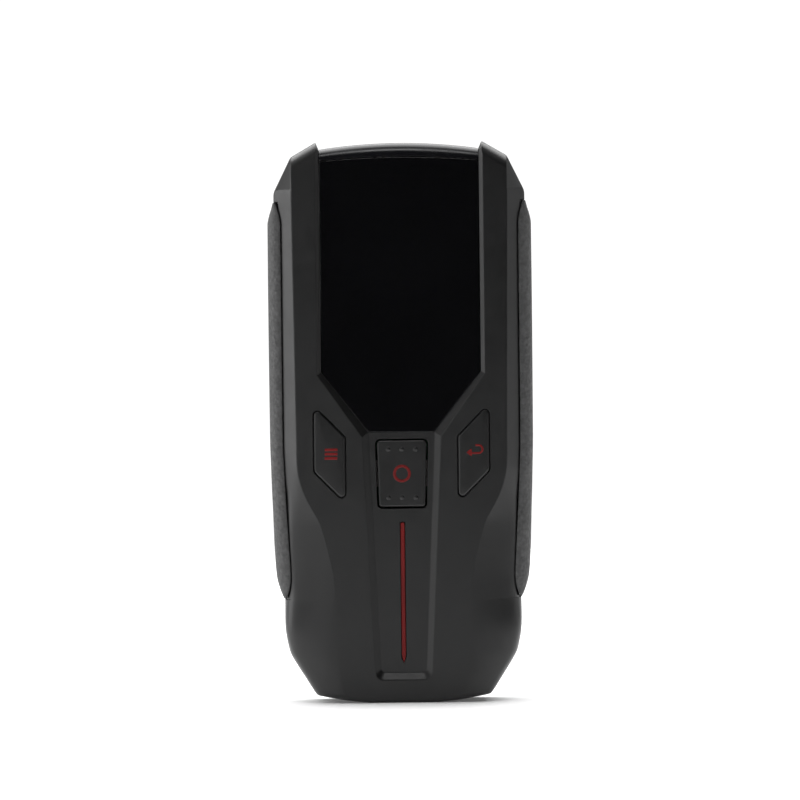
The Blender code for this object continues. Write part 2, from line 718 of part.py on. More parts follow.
def light_outline(grow):
    half = LIGHT_WIDTH / 2 + grow
    right = [(half, LIGHT_TOP_Z + grow), (half, LIGHT_FOOT_Z + 1.6 - grow)]
    return right + [(0, LIGHT_FOOT_Z - grow), (-half, right[1][1]), (-half, right[0][1])]


def make_light_pipe(material):
    pipe = prism("light_pipe", light_outline(0), (CHANNEL_DEPTH, LIGHT_BACK))
    join(pipe, box("light_flange", (-1.6, 1.6), (LIGHT_FOOT_Z + 2, LIGHT_TOP_Z - 2),
                   (TRAY_BACK + FIT_GAP, TRAY_BACK + FIT_GAP + 1)))
    return finish(pipe, material)


def make_side_key(name, side, material):
    centre = at(side * KEY_X, KEY_Z, -KEY_PROUD)
    flange_front = WALL + FIT_GAP
    key = loft(name, [
        ring(key_outline(side, -KEY_SOFTENING), -KEY_PROUD),
        ring(key_outline(side, -0.1), -KEY_PROUD + 0.12),
        ring(key_outline(side, 0), -KEY_PROUD + KEY_SOFTENING),
        ring(key_outline(side, 0), flange_front + 0.4)], centre)
    join(key, prism(f"{name}_flange", key_outline(side, KEY_FLANGE),
                    (flange_front, flange_front + KEY_FLANGE_THICKNESS)))
    join(key, rod(f"{name}_stem", (side * KEY_X, KEY_Z, flange_front + 0.4),
                  (side * KEY_X, KEY_Z, switch_tip(0) - FIT_GAP), KEY_STEM_RADIUS))
    return finish(key, material)


def switch_tip(lower):
    """Depth of a switch plunger's tip, which may sit lower than the others."""
    return BOARD_FRONT - SWITCH_THROW_TOP + lower


def make_rocker(material):
    """The rocker key: a pad with six raised dots, a lug for its pin and two pegs."""
    pin = at(0, ROCKER_Z, PIN_DEPTH)
    key = loft("rocker_key", [
        ring(rocker_outline(-0.3), ROCKER_FRONT), ring(rocker_outline(-0.08), ROCKER_FRONT + 0.1),
        ring(rocker_outline(0), ROCKER_FRONT + 0.3), ring(rocker_outline(0), ROCKER_BACK)], pin)
    join(key, box("rocker_lug", (-LUG_HALF, LUG_HALF), (ROCKER_Z - 1.5, ROCKER_Z + 1.5),
                  (ROCKER_BACK - 0.5, PIN_DEPTH + 1.35)))
    for end in (1, -1):
        z = ROCKER_Z + end * ROCKER_PEG_REACH
        tip = switch_tip(0) - FIT_GAP
        join(key, rod(f"rocker_peg_{end}", (0, z, ROCKER_BACK - 0.5), (0, z, tip), 1.0, 12))
        for across in (-1, 0, 1):
            x, dot_z = across * DOT_PITCH, ROCKER_Z + end * DOT_REACH
            join(key, rod(f"rocker_dot_{end}_{across}", (x, dot_z, ROCKER_FRONT + 0.4),
                          (x, dot_z, ROCKER_FRONT - DOT_RISE), DOT_RADIUS, 12))
    cut(key, rod("rocker_bore", (-LUG_HALF - 1, ROCKER_Z, PIN_DEPTH), (LUG_HALF + 1, ROCKER_Z, PIN_DEPTH),
                 PIN_RADIUS + FIT_GAP, 16))
    return finish(key, material)


def make_carrier(material):
    """The sliding frame that holds the rocker's pin, so that the whole rocker can be pressed."""
    press = at(0, ROCKER_Z, CARRIER_FRONT)
    carrier = box("rocker_carrier", (-CARRIER_HALF, CARRIER_HALF), (ROCKER_Z - 3.5, ROCKER_Z + 3.5),
                  (CARRIER_FRONT, CARRIER_BACK))
    carrier.data.transform(Matrix.Translation(carrier.location - press))
    carrier.location = press
    for side in (1, -1):
        ear = sorted((side * (LUG_HALF + FIT_GAP), side * (LUG_HALF + FIT_GAP + 1.2)))
        tab = sorted((side * (CARRIER_HALF - 1.1), side * CARRIER_HALF))
        join(carrier, box(f"carrier_ear_{side}", ear, (ROCKER_Z - 1.6, ROCKER_Z + 1.6),
                          (ROCKER_BACK + FIT_GAP, CARRIER_FRONT + 0.5)))
        join(carrier, box(f"carrier_tab_{side}", tab, (ROCKER_Z - 2.5, ROCKER_Z + 2.5),
                          (TRAY_BACK + FIT_GAP, CARRIER_FRONT + 0.5)))
    reach = LUG_HALF + 3
    cut(carrier, rod("carrier_bore", (-reach, ROCKER_Z, PIN_DEPTH), (reach, ROCKER_Z, PIN_DEPTH),
                     PIN_RADIUS + FIT_GAP, 16))
    return finish(carrier, material)


def make_pin(material):
    reach = LUG_HALF + FIT_GAP + 1.1
    pin = rod("rocker_pin", (-reach, ROCKER_Z, PIN_DEPTH), (reach, ROCKER_Z, PIN_DEPTH), PIN_RADIUS, 16)
    return finish(pin, material)


def make_switch(name, x, z, lower, case, plunger_material):
    """A tactile switch on the board, with a plunger that slides in its case."""
    front = switch_tip(lower) + 0.6
    half = SWITCH_SIZE / 2
    body = box(f"{name}_switch", (x - half, x + half), (z - half, z + half), (front, BOARD_FRONT - FIT_GAP))
    cut(body, rod(f"{name}_switch_hole", (x, z, front - 1), (x, z, BOARD_FRONT - 0.7),
                  PLUNGER_RADIUS + FIT_GAP, 16))
    finish(body, case)
    plunger = rod(f"{name}_plunger", (x, z, switch_tip(lower)), (x, z, BOARD_FRONT - 1.7), PLUNGER_RADIUS, 16)
    finish(plunger, plunger_material)


def make_board(material):
    inner = POCKET_HALF - WALL - BOARD_EDGE
    top = BODY_LENGTH - BOARD_TOP_DROP
    right = [(inner - 3, top), (inner, top - 6), (inner, 20.0), (inner - 8, BOARD_FOOT_Z)]
    board = prism("main_board", mirrored(right), (BOARD_FRONT, BOARD_FRONT + BOARD_THICKNESS))
    for i, (x, z) in enumerate(boss_places()):
        cut(board, rod(f"board_boss_hole_{i + 1}", (x, z, BOARD_FRONT - 1), (x, z, BOARD_FRONT + 3),
                       BOSS_RADIUS + 0.5))
    for side in (1, -1):
        cut(board, rod(f"board_screw_hole_{side}", (side * POST_X, POST_Z, BOARD_FRONT - 1),
                       (side * POST_X, POST_Z, BOARD_FRONT + 3), BOSS_HOLE, 12))
    return finish(board, material)


def make_lcd(glass, plastic, copper):
    half = CHANNEL_HALF + 0.3
    z = (LCD_FOOT_Z, BODY_LENGTH - LCD_TOP_DROP)
    finish(box("lcd_panel", (-half, half), z, (LCD_FRONT, LCD_FRONT + 1.2)), glass)
    back = LCD_FRONT + 2.8
    finish(box("lcd_backlight", (-half, half), z, (LCD_FRONT + 1.4, back)), plastic)
    path = [(z[0] + RIBBON_REACH, back + 0.25), (z[0] - 2, back + 0.25), (z[0] - 4, back + 0.9),
            (z[0] - 6, BOARD_FRONT - 0.9), (z[0] - 8, BOARD_FRONT - 0.6), (z[0] - 10, BOARD_FRONT - 0.6)]
    edges = [[(side * RIBBON_HALF, height, depth) for height, depth in path] for side in (-1, 1)]
    finish(sheet("lcd_ribbon", edges, -RIBBON_THICKNESS), copper)


def make_horn(metal, shield):
    """The microwave horn: a flared box, open towards the top of the object."""
    mouth_half = CHANNEL_HALF - 4.2
    mouth_z = BODY_LENGTH - 3.5
    throat_z = mouth_z - HORN_LENGTH
    front = BOARD_FRONT + BOARD_THICKNESS + 1.1
    back = BODY_DEPTH - REAR_CHAMFER - 0.2
    middle = (front + back) / 2

    def section(half, near, far, z):
        return [(half, z, near), (half, z, far), (-half, z, far), (-half, z, near)]

    outer = [section(5, middle - 2.5, middle + 2.5, throat_z),
             section(5, middle - 2.5, middle + 2.5, throat_z + 7),
             section(mouth_half, front, back, mouth_z)]
    horn = loft("horn_antenna", outer)
    wall = HORN_WALL
    inner = [section(5 - wall, middle - 2.5 + wall, middle + 2.5 - wall, throat_z + wall),
             section(5 - wall, middle - 2.5 + wall, middle + 2.5 - wall, throat_z + 7),
             section(mouth_half - wall, front + wall, back - wall, mouth_z),
             section(mouth_half - wall, front + wall, back - wall, mouth_z + 2)]
    cut(horn, loft("horn_mouth", inner))
    finish(horn, metal)
    rf_top = throat_z - FIT_GAP
    finish(box("rf_module", (-11, 11), (rf_top - 8, rf_top), (front - 0.6, front + 6.4)), shield)


def make_laser_receiver(glass, black):
    z = BODY_LENGTH - 6.4
    lens = turned("laser_lens", [(0, 2.2), (1.4, 2.0), (2.6, 1.4), (3.2, 0.7), (3.2, 0), (0, 0)],
                  (0, z, 8.8), (0, z + 1, 8.8))
    finish(lens, glass)
    finish(box("laser_sensor", (-3, 3), (SENSOR_TOP_Z - SENSOR_HEIGHT, SENSOR_TOP_Z),
               (LCD_FRONT + 3.1, BOARD_FRONT - FIT_GAP)), black)


def make_speaker(steel, paper, magnet, cloth):
    z = SPEAKER_Z
    rim = inside_back(z - SPEAKER_RADIUS) - 1.2
    radius = SPEAKER_RADIUS
    place, tip = (0, z, rim), (0, z, rim + 1)
    basket = [(radius, 0), (radius, -1.2), (radius - 1.5, -1.4), (7.6, -5.3), (3.0, -5.3),
              (3.0, -4.3), (7.2, -4.3), (radius - 2.4, -0.8), (radius - 1.2, 0)]
    finish(turned("speaker_basket", basket, place, tip), steel)
    cone = [(0, -0.9), (2.2, -1.1), (3.2, -2.4), (9.6, -0.1), (9.9, -0.4), (3.4, -3.0), (2.0, -3.6), (0, -3.6)]
    finish(turned("speaker_cone", cone, place, tip), paper)
    finish(rod("speaker_magnet", (0, z, rim - 5.6), (0, z, rim - 8.8), 7.0), magnet)
    finish(rod("speaker_mesh", (0, z, rim + 0.3), (0, z, rim + 0.8), radius - 1.5), cloth)


def make_battery(wrap, foam):
    half = LOWER_BOSS[0] - BOSS_RADIUS - 0.9
    z = (BATTERY_FOOT_Z, SPEAKER_Z - SPEAKER_RADIUS - 2)
    front = BOARD_FRONT + BOARD_THICKNESS + 1.5
    back = inside_back(BATTERY_FOOT_Z) - BATTERY_FOAM - 2 * FIT_GAP
    pack = box("battery_pack", (-half, half), z, (front, back))
    soften = pack.modifiers.new("round_edges", "BEVEL")
    soften.width = 1.5 * MM
    soften.segments = 2
    finish(pack, wrap)
    finish(box("battery_foam", (4 - half, half - 4), (z[0] + 4, z[1] - 8),
               (back + FIT_GAP, back + FIT_GAP + BATTERY_FOAM)), foam)


def make_port(metal):
    """The charging socket: a metal sleeve, open at the foot, with a contact tongue inside."""
    depth = (PORT_FRONT, PORT_FRONT + PORT_THICKNESS)
    top = 7.6
    socket = box("usb_socket", (-PORT_HALF, PORT_HALF), (0.4, top), depth)
    wall = 0.4
    cut(socket, box("port_hollow", (wall - PORT_HALF, PORT_HALF - wall), (-1, top - 1), (depth[0] + wall,
                                                                                      depth[1] - wall)))
    middle = sum(depth) / 2
    join(socket, box("port_tongue", (-3.3, 3.3), (1.4, top - 0.5), (middle - 0.35, middle + 0.35)))
    return finish(socket, metal)


def make_fasteners(steel):
    seat = SCREW_HEAD_SEAT + FIT_GAP
    for i, (x, z) in enumerate(boss_places()):
        add_screw(f"cover_screw_{i + 1}", (x, z, seat), seat - 6.5, SCREW_RADIUS,
                  SCREW_HEAD_RADIUS, 1.5, steel)
    seat = BOARD_FRONT + BOARD_THICKNESS + FIT_GAP
    for i, side in enumerate((1, -1)):
        add_screw(f"board_screw_{i + 1}", (side * POST_X, POST_Z, seat), seat - 5.5, 0.7, 1.8, 0.8, steel)


def add_screw(name, seat, length, radius, head_radius, head, material):
    """A pan-head screw driven from behind, with a cross recess."""
    x, z, depth = seat
    points = [(0, head), (head_radius - 0.4, head), (head_radius, head - 0.4), (head_radius, 0), (radius, 0),
              (radius, 0.6 - length), (0, -length)]
    screw = turned(name, points, seat, (x, z, depth + 1), 14)
    for j, (wide, tall) in enumerate(((0.9, 0.22), (0.22, 0.9))):
        slot_depth = (depth + head - 0.45 * head, depth + head + 1)
        cut(screw, box(f"{name}_slot_{j}", (x - wide, x + wide), (z - tall, z + tall), slot_depth))
    finish(screw, material)


def make_leds(material):
    for i, z in enumerate((16.0, 29.0, 42.0)):
        finish(box(f"status_led_{i + 1}", (-0.9, 0.9), (z - 0.8, z + 0.8),
                   (LIGHT_BACK + FIT_GAP, BOARD_FRONT - FIT_GAP)), material)


def build():
    for old in list(bpy.data.objects):
        bpy.data.objects.remove(old)
    bpy.context.scene.collection.children.link(PARTS)
    bpy.context.scene.collection.children.link(CUTTERS)

    shell = make_material("shell_plastic", (0.016, 0.016, 0.017), 0.42)
    rubber = make_material("grip_rubber", (0.022, 0.022, 0.023), 0.7)
    key_plastic = make_material("key_plastic", (0.014, 0.014, 0.015), 0.5)
    gloss = make_material("window_gloss", (0.004, 0.004, 0.005), 0.06)
    tinted = make_material("top_window_tint", (0.006, 0.006, 0.008), 0.12)
    red = make_material("light_red", (0.12, 0.008, 0.008), 0.35)
    sealing = make_material("gasket_foam", (0.02, 0.02, 0.02), 0.9)
    nylon = make_material("nylon", (0.25, 0.25, 0.25), 0.6)
    steel = make_material("steel", (0.55, 0.55, 0.56), 0.3, 1.0)
    tin = make_material("tinned_shield", (0.62, 0.63, 0.64), 0.35, 1.0)
    board_green = make_material("board_green", (0.01, 0.09, 0.04), 0.45)
    lcd_glass = make_material("lcd_glass", (0.02, 0.02, 0.03), 0.15)
    white_plastic = make_material("backlight_white", (0.7, 0.7, 0.7), 0.5)
    copper_flex = make_material("flex_amber", (0.35, 0.16, 0.03), 0.4)
    clear = make_material("lens_clear", (0.9, 0.9, 0.95), 0.05, 0.0, 0.9)
    paper = make_material("cone_paper", (0.03, 0.03, 0.03), 0.85)
    ferrite = make_material("ferrite", (0.05, 0.05, 0.055), 0.5, 0.4)
    cloth = make_material("speaker_cloth", (0.01, 0.01, 0.01), 0.9)
    wrap = make_material("battery_wrap", (0.03, 0.08, 0.22), 0.4)

    make_front_cover(shell)
    make_rear_cover(shell)
    make_grip("right_grip", 1, rubber)
    make_grip("left_grip", -1, rubber)
    make_display_window(gloss)
    make_window_gasket(sealing)
    make_top_window(tinted)
    make_light_pipe(red)
    make_side_key("back_button", 1, key_plastic)
    make_side_key("menu_button", -1, key_plastic)
    make_rocker(key_plastic)
    make_carrier(nylon)
    make_pin(steel)
    make_switch("back", KEY_X, KEY_Z, 0, ferrite, nylon)
    make_switch("menu", -KEY_X, KEY_Z, 0, ferrite, nylon)
    make_switch("up", 0, ROCKER_Z + ROCKER_PEG_REACH, 0, ferrite, nylon)
    make_switch("down", 0, ROCKER_Z - ROCKER_PEG_REACH, 0, ferrite, nylon)
    make_switch("select", 0, ROCKER_Z, CARRIER_BACK + FIT_GAP - switch_tip(0), ferrite, nylon)
    make_board(board_green)
    make_leds(white_plastic)
    make_lcd(lcd_glass, white_plastic, copper_flex)
    finish(box("processor_shield", (-SHIELD_HALF, SHIELD_HALF),
               (LCD_FOOT_Z + RIBBON_REACH + 7.5, SENSOR_TOP_Z - SENSOR_HEIGHT - 3),
               (LCD_FRONT + 3.3, BOARD_FRONT - FIT_GAP)), tin)
    make_horn(steel, tin)
    make_laser_receiver(clear, ferrite)
    make_speaker(steel, paper, ferrite, cloth)
    make_battery(wrap, sealing)
    make_port(steel)
    make_fasteners(steel)
    pad_depth = BODY_DEPTH + PAD_PROUD - PAD_THICKNESS
    finish(prism("rear_pad", pad_outline(0), (pad_depth, BODY_DEPTH + PAD_PROUD)), rubber)


build()
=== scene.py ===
"""Looks of the handheld radar detector: fine shells, grips, keys and windows, and all the materials.

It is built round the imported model. Sizes below are millimetres; at() turns them into metres.
X is the width, Z runs up the length from the foot, and depth is measured backwards (+Y)
from the flat shoulders of the face.
"""

import json
import math

import bmesh
import bpy
from mathutils import Matrix, Vector


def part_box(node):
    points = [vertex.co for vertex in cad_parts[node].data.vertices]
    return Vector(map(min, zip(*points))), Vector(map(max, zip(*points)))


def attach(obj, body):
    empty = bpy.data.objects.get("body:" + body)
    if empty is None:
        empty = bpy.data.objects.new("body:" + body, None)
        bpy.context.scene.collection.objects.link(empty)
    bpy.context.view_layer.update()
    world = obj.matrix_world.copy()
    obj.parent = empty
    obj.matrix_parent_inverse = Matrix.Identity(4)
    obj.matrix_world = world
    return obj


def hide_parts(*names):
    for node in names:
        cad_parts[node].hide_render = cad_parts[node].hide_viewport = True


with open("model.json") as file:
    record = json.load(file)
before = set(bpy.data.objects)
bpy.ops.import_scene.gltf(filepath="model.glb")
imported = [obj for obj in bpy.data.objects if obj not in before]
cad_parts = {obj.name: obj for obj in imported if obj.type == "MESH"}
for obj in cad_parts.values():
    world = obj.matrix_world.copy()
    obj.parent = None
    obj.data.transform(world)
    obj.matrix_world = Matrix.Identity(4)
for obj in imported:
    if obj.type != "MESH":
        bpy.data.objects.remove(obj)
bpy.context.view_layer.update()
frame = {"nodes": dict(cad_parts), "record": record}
NODES = frame["nodes"]
MM = 0.001
WINDOW_GAP = 0.12        # between the windows and the covers


def low(node):
    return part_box(node)[0] / MM


def high(node):
    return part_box(node)[1] / MM


def front_of(node):
    return low(node).y - FACE_Y


def back_of(node):
    return high(node).y - FACE_Y


# Sizes read from the frame
FACE_Y = low("front_cover").y
BODY_LENGTH = high("front_cover").z
BODY_HALF = high("front_cover").x
PARTING = back_of("front_cover")
BODY_DEPTH = back_of("rear_cover")
GRIP_WIDTH = 2 * high("right_grip").x
GRIP_BOTTOM = low("right_grip").z
GRIP_TOP = high("right_grip").z
GRIP_BACK = back_of("right_grip")
CHANNEL_DEPTH = front_of("display_window")
NECK_Z = low("display_window").z - WINDOW_GAP
CHANNEL_HALF = high("display_window").x + WINDOW_GAP
PAD_BACK = back_of("rear_pad")
SPEAKER_Z = (low("speaker_mesh").z + high("speaker_mesh").z) / 2
SPEAKER_RADIUS = high("speaker_basket").x
KEY_TOP_Z = high("back_button").z - 1.0
KEY_BOTTOM_Z = low("back_button").z + 1.0

# Housing
WALL = 1.8
FACET = 4.8
TOP_ROUND = 3.9
FOOT_ROUND = 2.2
FOOT_HALF = 9.0
REAR_CHAMFER = 5.5
REAR_TAPER = 0.8
TAPER_START = 70.0
FIT_GAP = 0.3
SEAM_GAP = 0.2
FACE_EDGE_ROUND = 0.55   # rounding between the face and a facet
SIDE_EDGE_ROUND = 1.2    # rounding between a facet and a side
LIP = 0.14               # eased edge beside the seams

# Channel and windows
RIDGE_BEVEL = 1.0
SHOULDER_Z = 87.5
NECK_HALF = 8.8
NECK_BEVEL = 1.6
CHANNEL_FOOT_Z = 8.0
CHANNEL_FOOT_HALF = 6.0
TRAY_BACK = 4.0
TRAY_BORDER = 1.2
WINDOW_THICKNESS = 1.1
LEDGE_FRONT = CHANNEL_DEPTH + WINDOW_THICKNESS + 0.4 + 2 * SEAM_GAP
LEDGE = 2.0
TOP_WINDOW_THICKNESS = 1.5
TOP_WINDOW_ROUND = 3.5
TOP_SAG = 1.6
SEAM_DROP = 4.1
SEAM_SAG = 1.0
GRIP_CROWN = 3.5

# Keys
KEY_GAP = 0.3
KEY_HALF = 4.05
KEY_OUTER_Z = 61.3
KEY_INNER_Z = 70.4
KEY_PROUD = 0.5
KEY_FLANGE = 1.0
KEY_FLANGE_THICKNESS = 0.8
KEY_STEM_RADIUS = 1.5
ROCKER_TOP_Z = 69.4
ROCKER_FOOT_Z = 51.8
ROCKER_TOP_HALF = 6.6
ROCKER_FOOT_HALF = 6.15
ROCKER_FRONT = 0.55
ROCKER_BACK = 3.0
ROCKER_GAP = 0.4
ROCKER_PEG_REACH = 6.3
ROCKER_PEG_RADIUS = 1.0
DOT_REACH = 6.4
DOT_PITCH = 3.6
PIN_DEPTH = 4.1
PIN_RADIUS = 0.65
LUG_HALF = 2.4
SWITCH_TIP = 6.8
PRINT = 0.05             # thickness of the printed icons

# Light line, board and fasteners
LIGHT_WIDTH = 1.0
LIGHT_TOP_Z = 47.6
LIGHT_FOOT_Z = 10.6
LIGHT_BACK = back_of("light_pipe")
BOARD_FRONT = front_of("main_board")
POST = (15.0, 46.0)
POST_RADIUS = 2.2
POST_HOLE = 1.0          # radius of the hole for a board screw
BOSS_RADIUS = 2.6
BOSS_HOLE = 1.1
SCREW_HEAD_SEAT = 24.0
SCREW_HEAD_RADIUS = 1.7
PAD_THICKNESS = 1.2
PORT_HALF = high("usb_socket").x
PORT_FRONT = front_of("usb_socket")
PORT_BACK = back_of("usb_socket")
PORT_GAP = 0.4           # between the socket and its opening

FACE_HALF = BODY_HALF - FACET
POCKET_HALF = GRIP_WIDTH / 2 - 2.5 - FIT_GAP
REAR_START = PARTING + SEAM_GAP + 0.3
KEY_X = (NECK_HALF + NECK_BEVEL + FACE_HALF - 0.8) / 2
KEY_Z = (KEY_TOP_Z + KEY_BOTTOM_Z) / 2
ROCKER_Z = (ROCKER_TOP_Z + ROCKER_FOOT_Z) / 2
BOSSES = [(side * x, z) for x, z in ((BODY_HALF - 7.7, BODY_LENGTH - 22.0), (BODY_HALF - 10.8, 22.0))
          for side in (1, -1)]
RING_DEPTHS = [0, 0.02, 0.06, 0.12, 0.2, 0.35, 0.6, 1.0, 1.6, 2.3, 2.9, 3.3, 3.6, 3.8, 4.05, 4.3, 4.6, 4.9,
               5.3, 6.0, 7.0, 8.0, 9.0, 11.5]

# Studio
FIELD = 211.4            # width of the picture at the face
CAMERA_DISTANCE = 1400
WORLD_FRONT = 0.015      # brightness of the room in front of the object
WORLD_BACK = 0.6         # and behind it
FLOOR_HALF = 900
FLOOR_FRONT = -400       # the floor's near edge, out of the picture


# Helpers

def at(x, z, depth):
    """A point in metres from a place on the object in millimetres."""
    return Vector((x, FACE_Y + depth, z)) * MM


def add_object(name, bm, closed=True):
    if closed:
        bmesh.ops.recalc_face_normals(bm, faces=bm.faces)
    mesh = bpy.data.meshes.new(name)
    bm.to_mesh(mesh)
    bm.free()
    obj = bpy.data.objects.new(name, mesh)
    bpy.context.scene.collection.objects.link(obj)
    return obj


def join_loops(bm, loops):
    count = len(loops[0])
    for first, second in zip(loops, loops[1:]):
        for i in range(count):
            j = (i + 1) % count
            bm.faces.new((first[i], first[j], second[j], second[i]))


def loft(name, rings, row_caps=False):
    """A solid through rings of (x, z, depth) places. A back cap that isn't flat goes row by row."""
    bm = bmesh.new()
    loops = [[bm.verts.new(at(*place)) for place in places] for places in rings]
    join_loops(bm, loops)
    bm.faces.new(loops[0])
    back = loops[-1]
    if row_caps:
        for i in range(len(back) // 2 - 1):
            bm.faces.new((back[i], back[i + 1], back[-2 - i], back[-1 - i]))
    else:
        bm.faces.new(back)
    return add_object(name, bm)


def prism(name, outline, depth):
    return loft(name, [ring(outline, depth[0]), ring(outline, depth[1])])


def angles(steps):
    return [math.pi / 2 * i / steps for i in range(steps + 1)]


def rounding(radius, steps):
    """A quarter round from the front to the side, as (how far inside the side, how far behind the front)."""
    return [(radius * (1 - math.sin(t)), radius * (1 - math.cos(t))) for t in angles(steps)]


def eased_rings(outline, front, ease, steps):
    """Rings over a rounded front edge. outline(grow) gives the shape."""
    return [ring(outline(-inside), front + behind) for inside, behind in rounding(ease, steps)]


def eased_prism(name, outline, depth, ease):
    """A prism whose front edge is rounded."""
    rings = eased_rings(lambda grow: offset_outline(outline, grow), depth[0], ease, 5)
    return loft(name, rings + [ring(outline, depth[1])])


def box(name, x, z, depth):
    outline = [(x[0], z[0]), (x[1], z[0]), (x[1], z[1]), (x[0], z[1])]
    return prism(name, outline, depth)


def rod(name, start, end, radius):
    first, last = at(*start), at(*end)
    turn = (last - first).to_track_quat("Z", "Y").to_matrix().to_4x4()
    bm = bmesh.new()
    bmesh.ops.create_cone(
        bm, cap_ends=True, segments=32, radius1=radius * MM, radius2=radius * MM,
        depth=(last - first).length, matrix=Matrix.Translation((first + last) / 2) @ turn)
    return add_object(name, bm)


def post(name, x, z, depth, radius):
    """A rod along the depth."""
    return rod(name, (x, z, depth[0]), (x, z, depth[1]), radius)


def circle(steps, radius, centre=(0, 0)):
    turns = (2 * math.pi * i / steps for i in range(steps))
    return [(centre[0] + radius * math.cos(a), centre[1] + radius * math.sin(a)) for a in turns]


def turned(name, points, place, facing, steps=48):
    """A profile of (radius, height) points, turned about a line backwards, or forwards if facing is -1."""
    bm = bmesh.new()
    turn = Vector((0, facing, 0)).to_track_quat("Z", "Y").to_matrix().to_4x4()
    move = Matrix.Translation(at(*place)) @ turn
    loops = []
    for radius, height in points:
        loops.append([bm.verts.new(move @ (Vector((*spot, height)) * MM)) for spot in circle(steps, radius)])
    join_loops(bm, loops)
    bm.faces.new(loops[0])
    bm.faces.new(loops[-1])
    return add_object(name, bm)


def cutter_group(target, tools, operation):
    """One exact Boolean with all the tools of a kind."""
    group = bpy.data.collections.new(f"{target.name}_{operation.lower()}")
    for tool in tools:
        bpy.context.scene.collection.objects.unlink(tool)
        group.objects.link(tool)
    modifier = target.modifiers.new(group.name, "BOOLEAN")
    modifier.operation = operation
    modifier.operand_type = "COLLECTION"
    modifier.collection = group
    bpy.context.view_layer.update()
    mesh = bpy.data.meshes.new_from_object(target.evaluated_get(bpy.context.evaluated_depsgraph_get()))
    target.modifiers.remove(modifier)
    target.data = mesh
    for tool in tools:
        bpy.data.objects.remove(tool)


def cut(target, *tools):
    cutter_group(target, tools, "DIFFERENCE")


def join(target, *tools):
    cutter_group(target, tools, "UNION")


def finish(obj, body, slot, *replaced, smooth_angle=32, weighted=True):
    """Shade a finished piece, hang it on its body and hide the CAD nodes it stands for."""
    obj.data.shade_smooth()
    obj.data.set_sharp_from_angle(angle=math.radians(smooth_angle))
    obj.data.materials.clear()
    obj.data.materials.append(MATERIALS[slot])
    if weighted:
        normals = obj.modifiers.new("weighted normals", "WEIGHTED_NORMAL")
        normals.keep_sharp = True
        normals.weight = 100
    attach(obj, body)
    if replaced:
        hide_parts(*replaced)
    return obj


def bevel(obj, width, segments, angle):
    ease = obj.modifiers.new("eased edges", "BEVEL")
    ease.width = width * MM
    ease.segments = segments
    ease.limit_method = "ANGLE"
    ease.angle_limit = math.radians(angle)


def mirrored(right):
    """A closed outline from its right-hand points, given from the top down."""
    return right + [(-x, *rest) for x, *rest in reversed(right)]


def ring(outline, depth):
    return [(x, z, depth) for x, z in outline]


def rings_through(lines):
    """The closed rings that right-hand lines pass through, one for each place along them."""
    return [mirrored([tuple(place) for place in places]) for places in zip(*lines)]


def offset_outline(points, distance):
    """Move every side of a closed outline outwards, or inwards where distance is negative."""
    count = len(points)
    area = sum(points[i - 1][0] * points[i][1] - points[i][0] * points[i - 1][1] for i in range(count))
    turn = math.copysign(1.0, area)
    moved = []
    for i in range(count):
        corner = Vector(points[i])
        before = (corner - Vector(points[i - 1])).normalized()
        after = (Vector(points[(i + 1) % count]) - corner).normalized()
        normals = [Vector((side.y, -side.x)) * turn for side in (before, after)]
        middle = (normals[0] + normals[1]).normalized()
        moved.append(tuple(corner + middle * distance / max(middle.dot(normals[0]), 0.3)))
    return moved


def rounded(points, radii, steps=8):
    """Swing each corner of a closed outline into an arc. A radius of 0 keeps the corner."""
    outline = []
    for i, radius in enumerate(radii):
        corner = Vector(points[i])
        if radius == 0:
            outline.append(tuple(corner))
            continue
        before = (Vector(points[i - 1]) - corner).normalized()
        after = (Vector(points[(i + 1) % len(points)]) - corner).normalized()
        half = before.angle(after) / 2
        centre = corner + (before + after).normalized() * radius / math.sin(half)
        first = corner + before * radius / math.tan(half) - centre
        sweep = -first.angle_signed(corner + after * radius / math.tan(half) - centre)
        for step in range(steps + 1):
            spoke = first.copy()
            spoke.rotate(Matrix.Rotation(sweep * step / steps, 2))
            outline.append(tuple(centre + spoke))
    return outline


def flow(before, first, second, after, share):
    """A smooth curve's place between two of its points, paced by the distances between them."""
    steps = [max((b - a).length, 1e-6) for a, b in ((before, first), (first, second), (second, after))]
    leave = (second - before) / (steps[0] + steps[1]) * steps[1]
    arrive = (after - first) / (steps[1] + steps[2]) * steps[1]
    t = share
    return ((2 * t ** 3 - 3 * t ** 2 + 1) * first + (t ** 3 - 2 * t ** 2 + t) * leave
            + (3 * t ** 2 - 2 * t ** 3) * second + (t ** 3 - t ** 2) * arrive)


def refined(lines, joints, steps=5):
    """More lines between those given. A joint is "flow" for a smooth run, or a rounded corner's length."""
    out = []
    for i, (line, joint) in enumerate(zip(lines, joints)):
        if joint == "flow":
            out.append(line)
            if i + 1 < len(lines) and joints[i + 1] == "flow":
                before = lines[i - 1] if joints[i - 1] == "flow" else line
                second = lines[i + 1]
                after = lines[i + 2] if i + 2 < len(lines) and joints[i + 2] == "flow" else second
                for step in range(1, steps):
                    out.append([flow(*four, step / steps) for four in zip(before, line, second, after)])
        elif joint == 0:
            out.append(line)
        else:
            ends = []
            for other in (lines[i - 1], lines[i + 1]):
                share = min(0.45, joint / max((line[-1] - other[-1]).length, 1e-6))
                ends.append([corner.lerp(far, share) for corner, far in zip(line, other)])
            for step in range(steps + 1):
                t = step / steps
                out.append([(1 - t) ** 2 * first + 2 * t * (1 - t) * corner + t ** 2 * last
                            for first, corner, last in zip(ends[0], line, ends[1])])
    return out


# Housing shape

def taper(z, depth):
    """The rear cover gets shallower towards the foot."""
    if depth <= REAR_START:
        return depth
    share = REAR_TAPER + (1 - REAR_TAPER) * min(max(z / TAPER_START, 0), 1)
    return REAR_START + (depth - REAR_START) * share


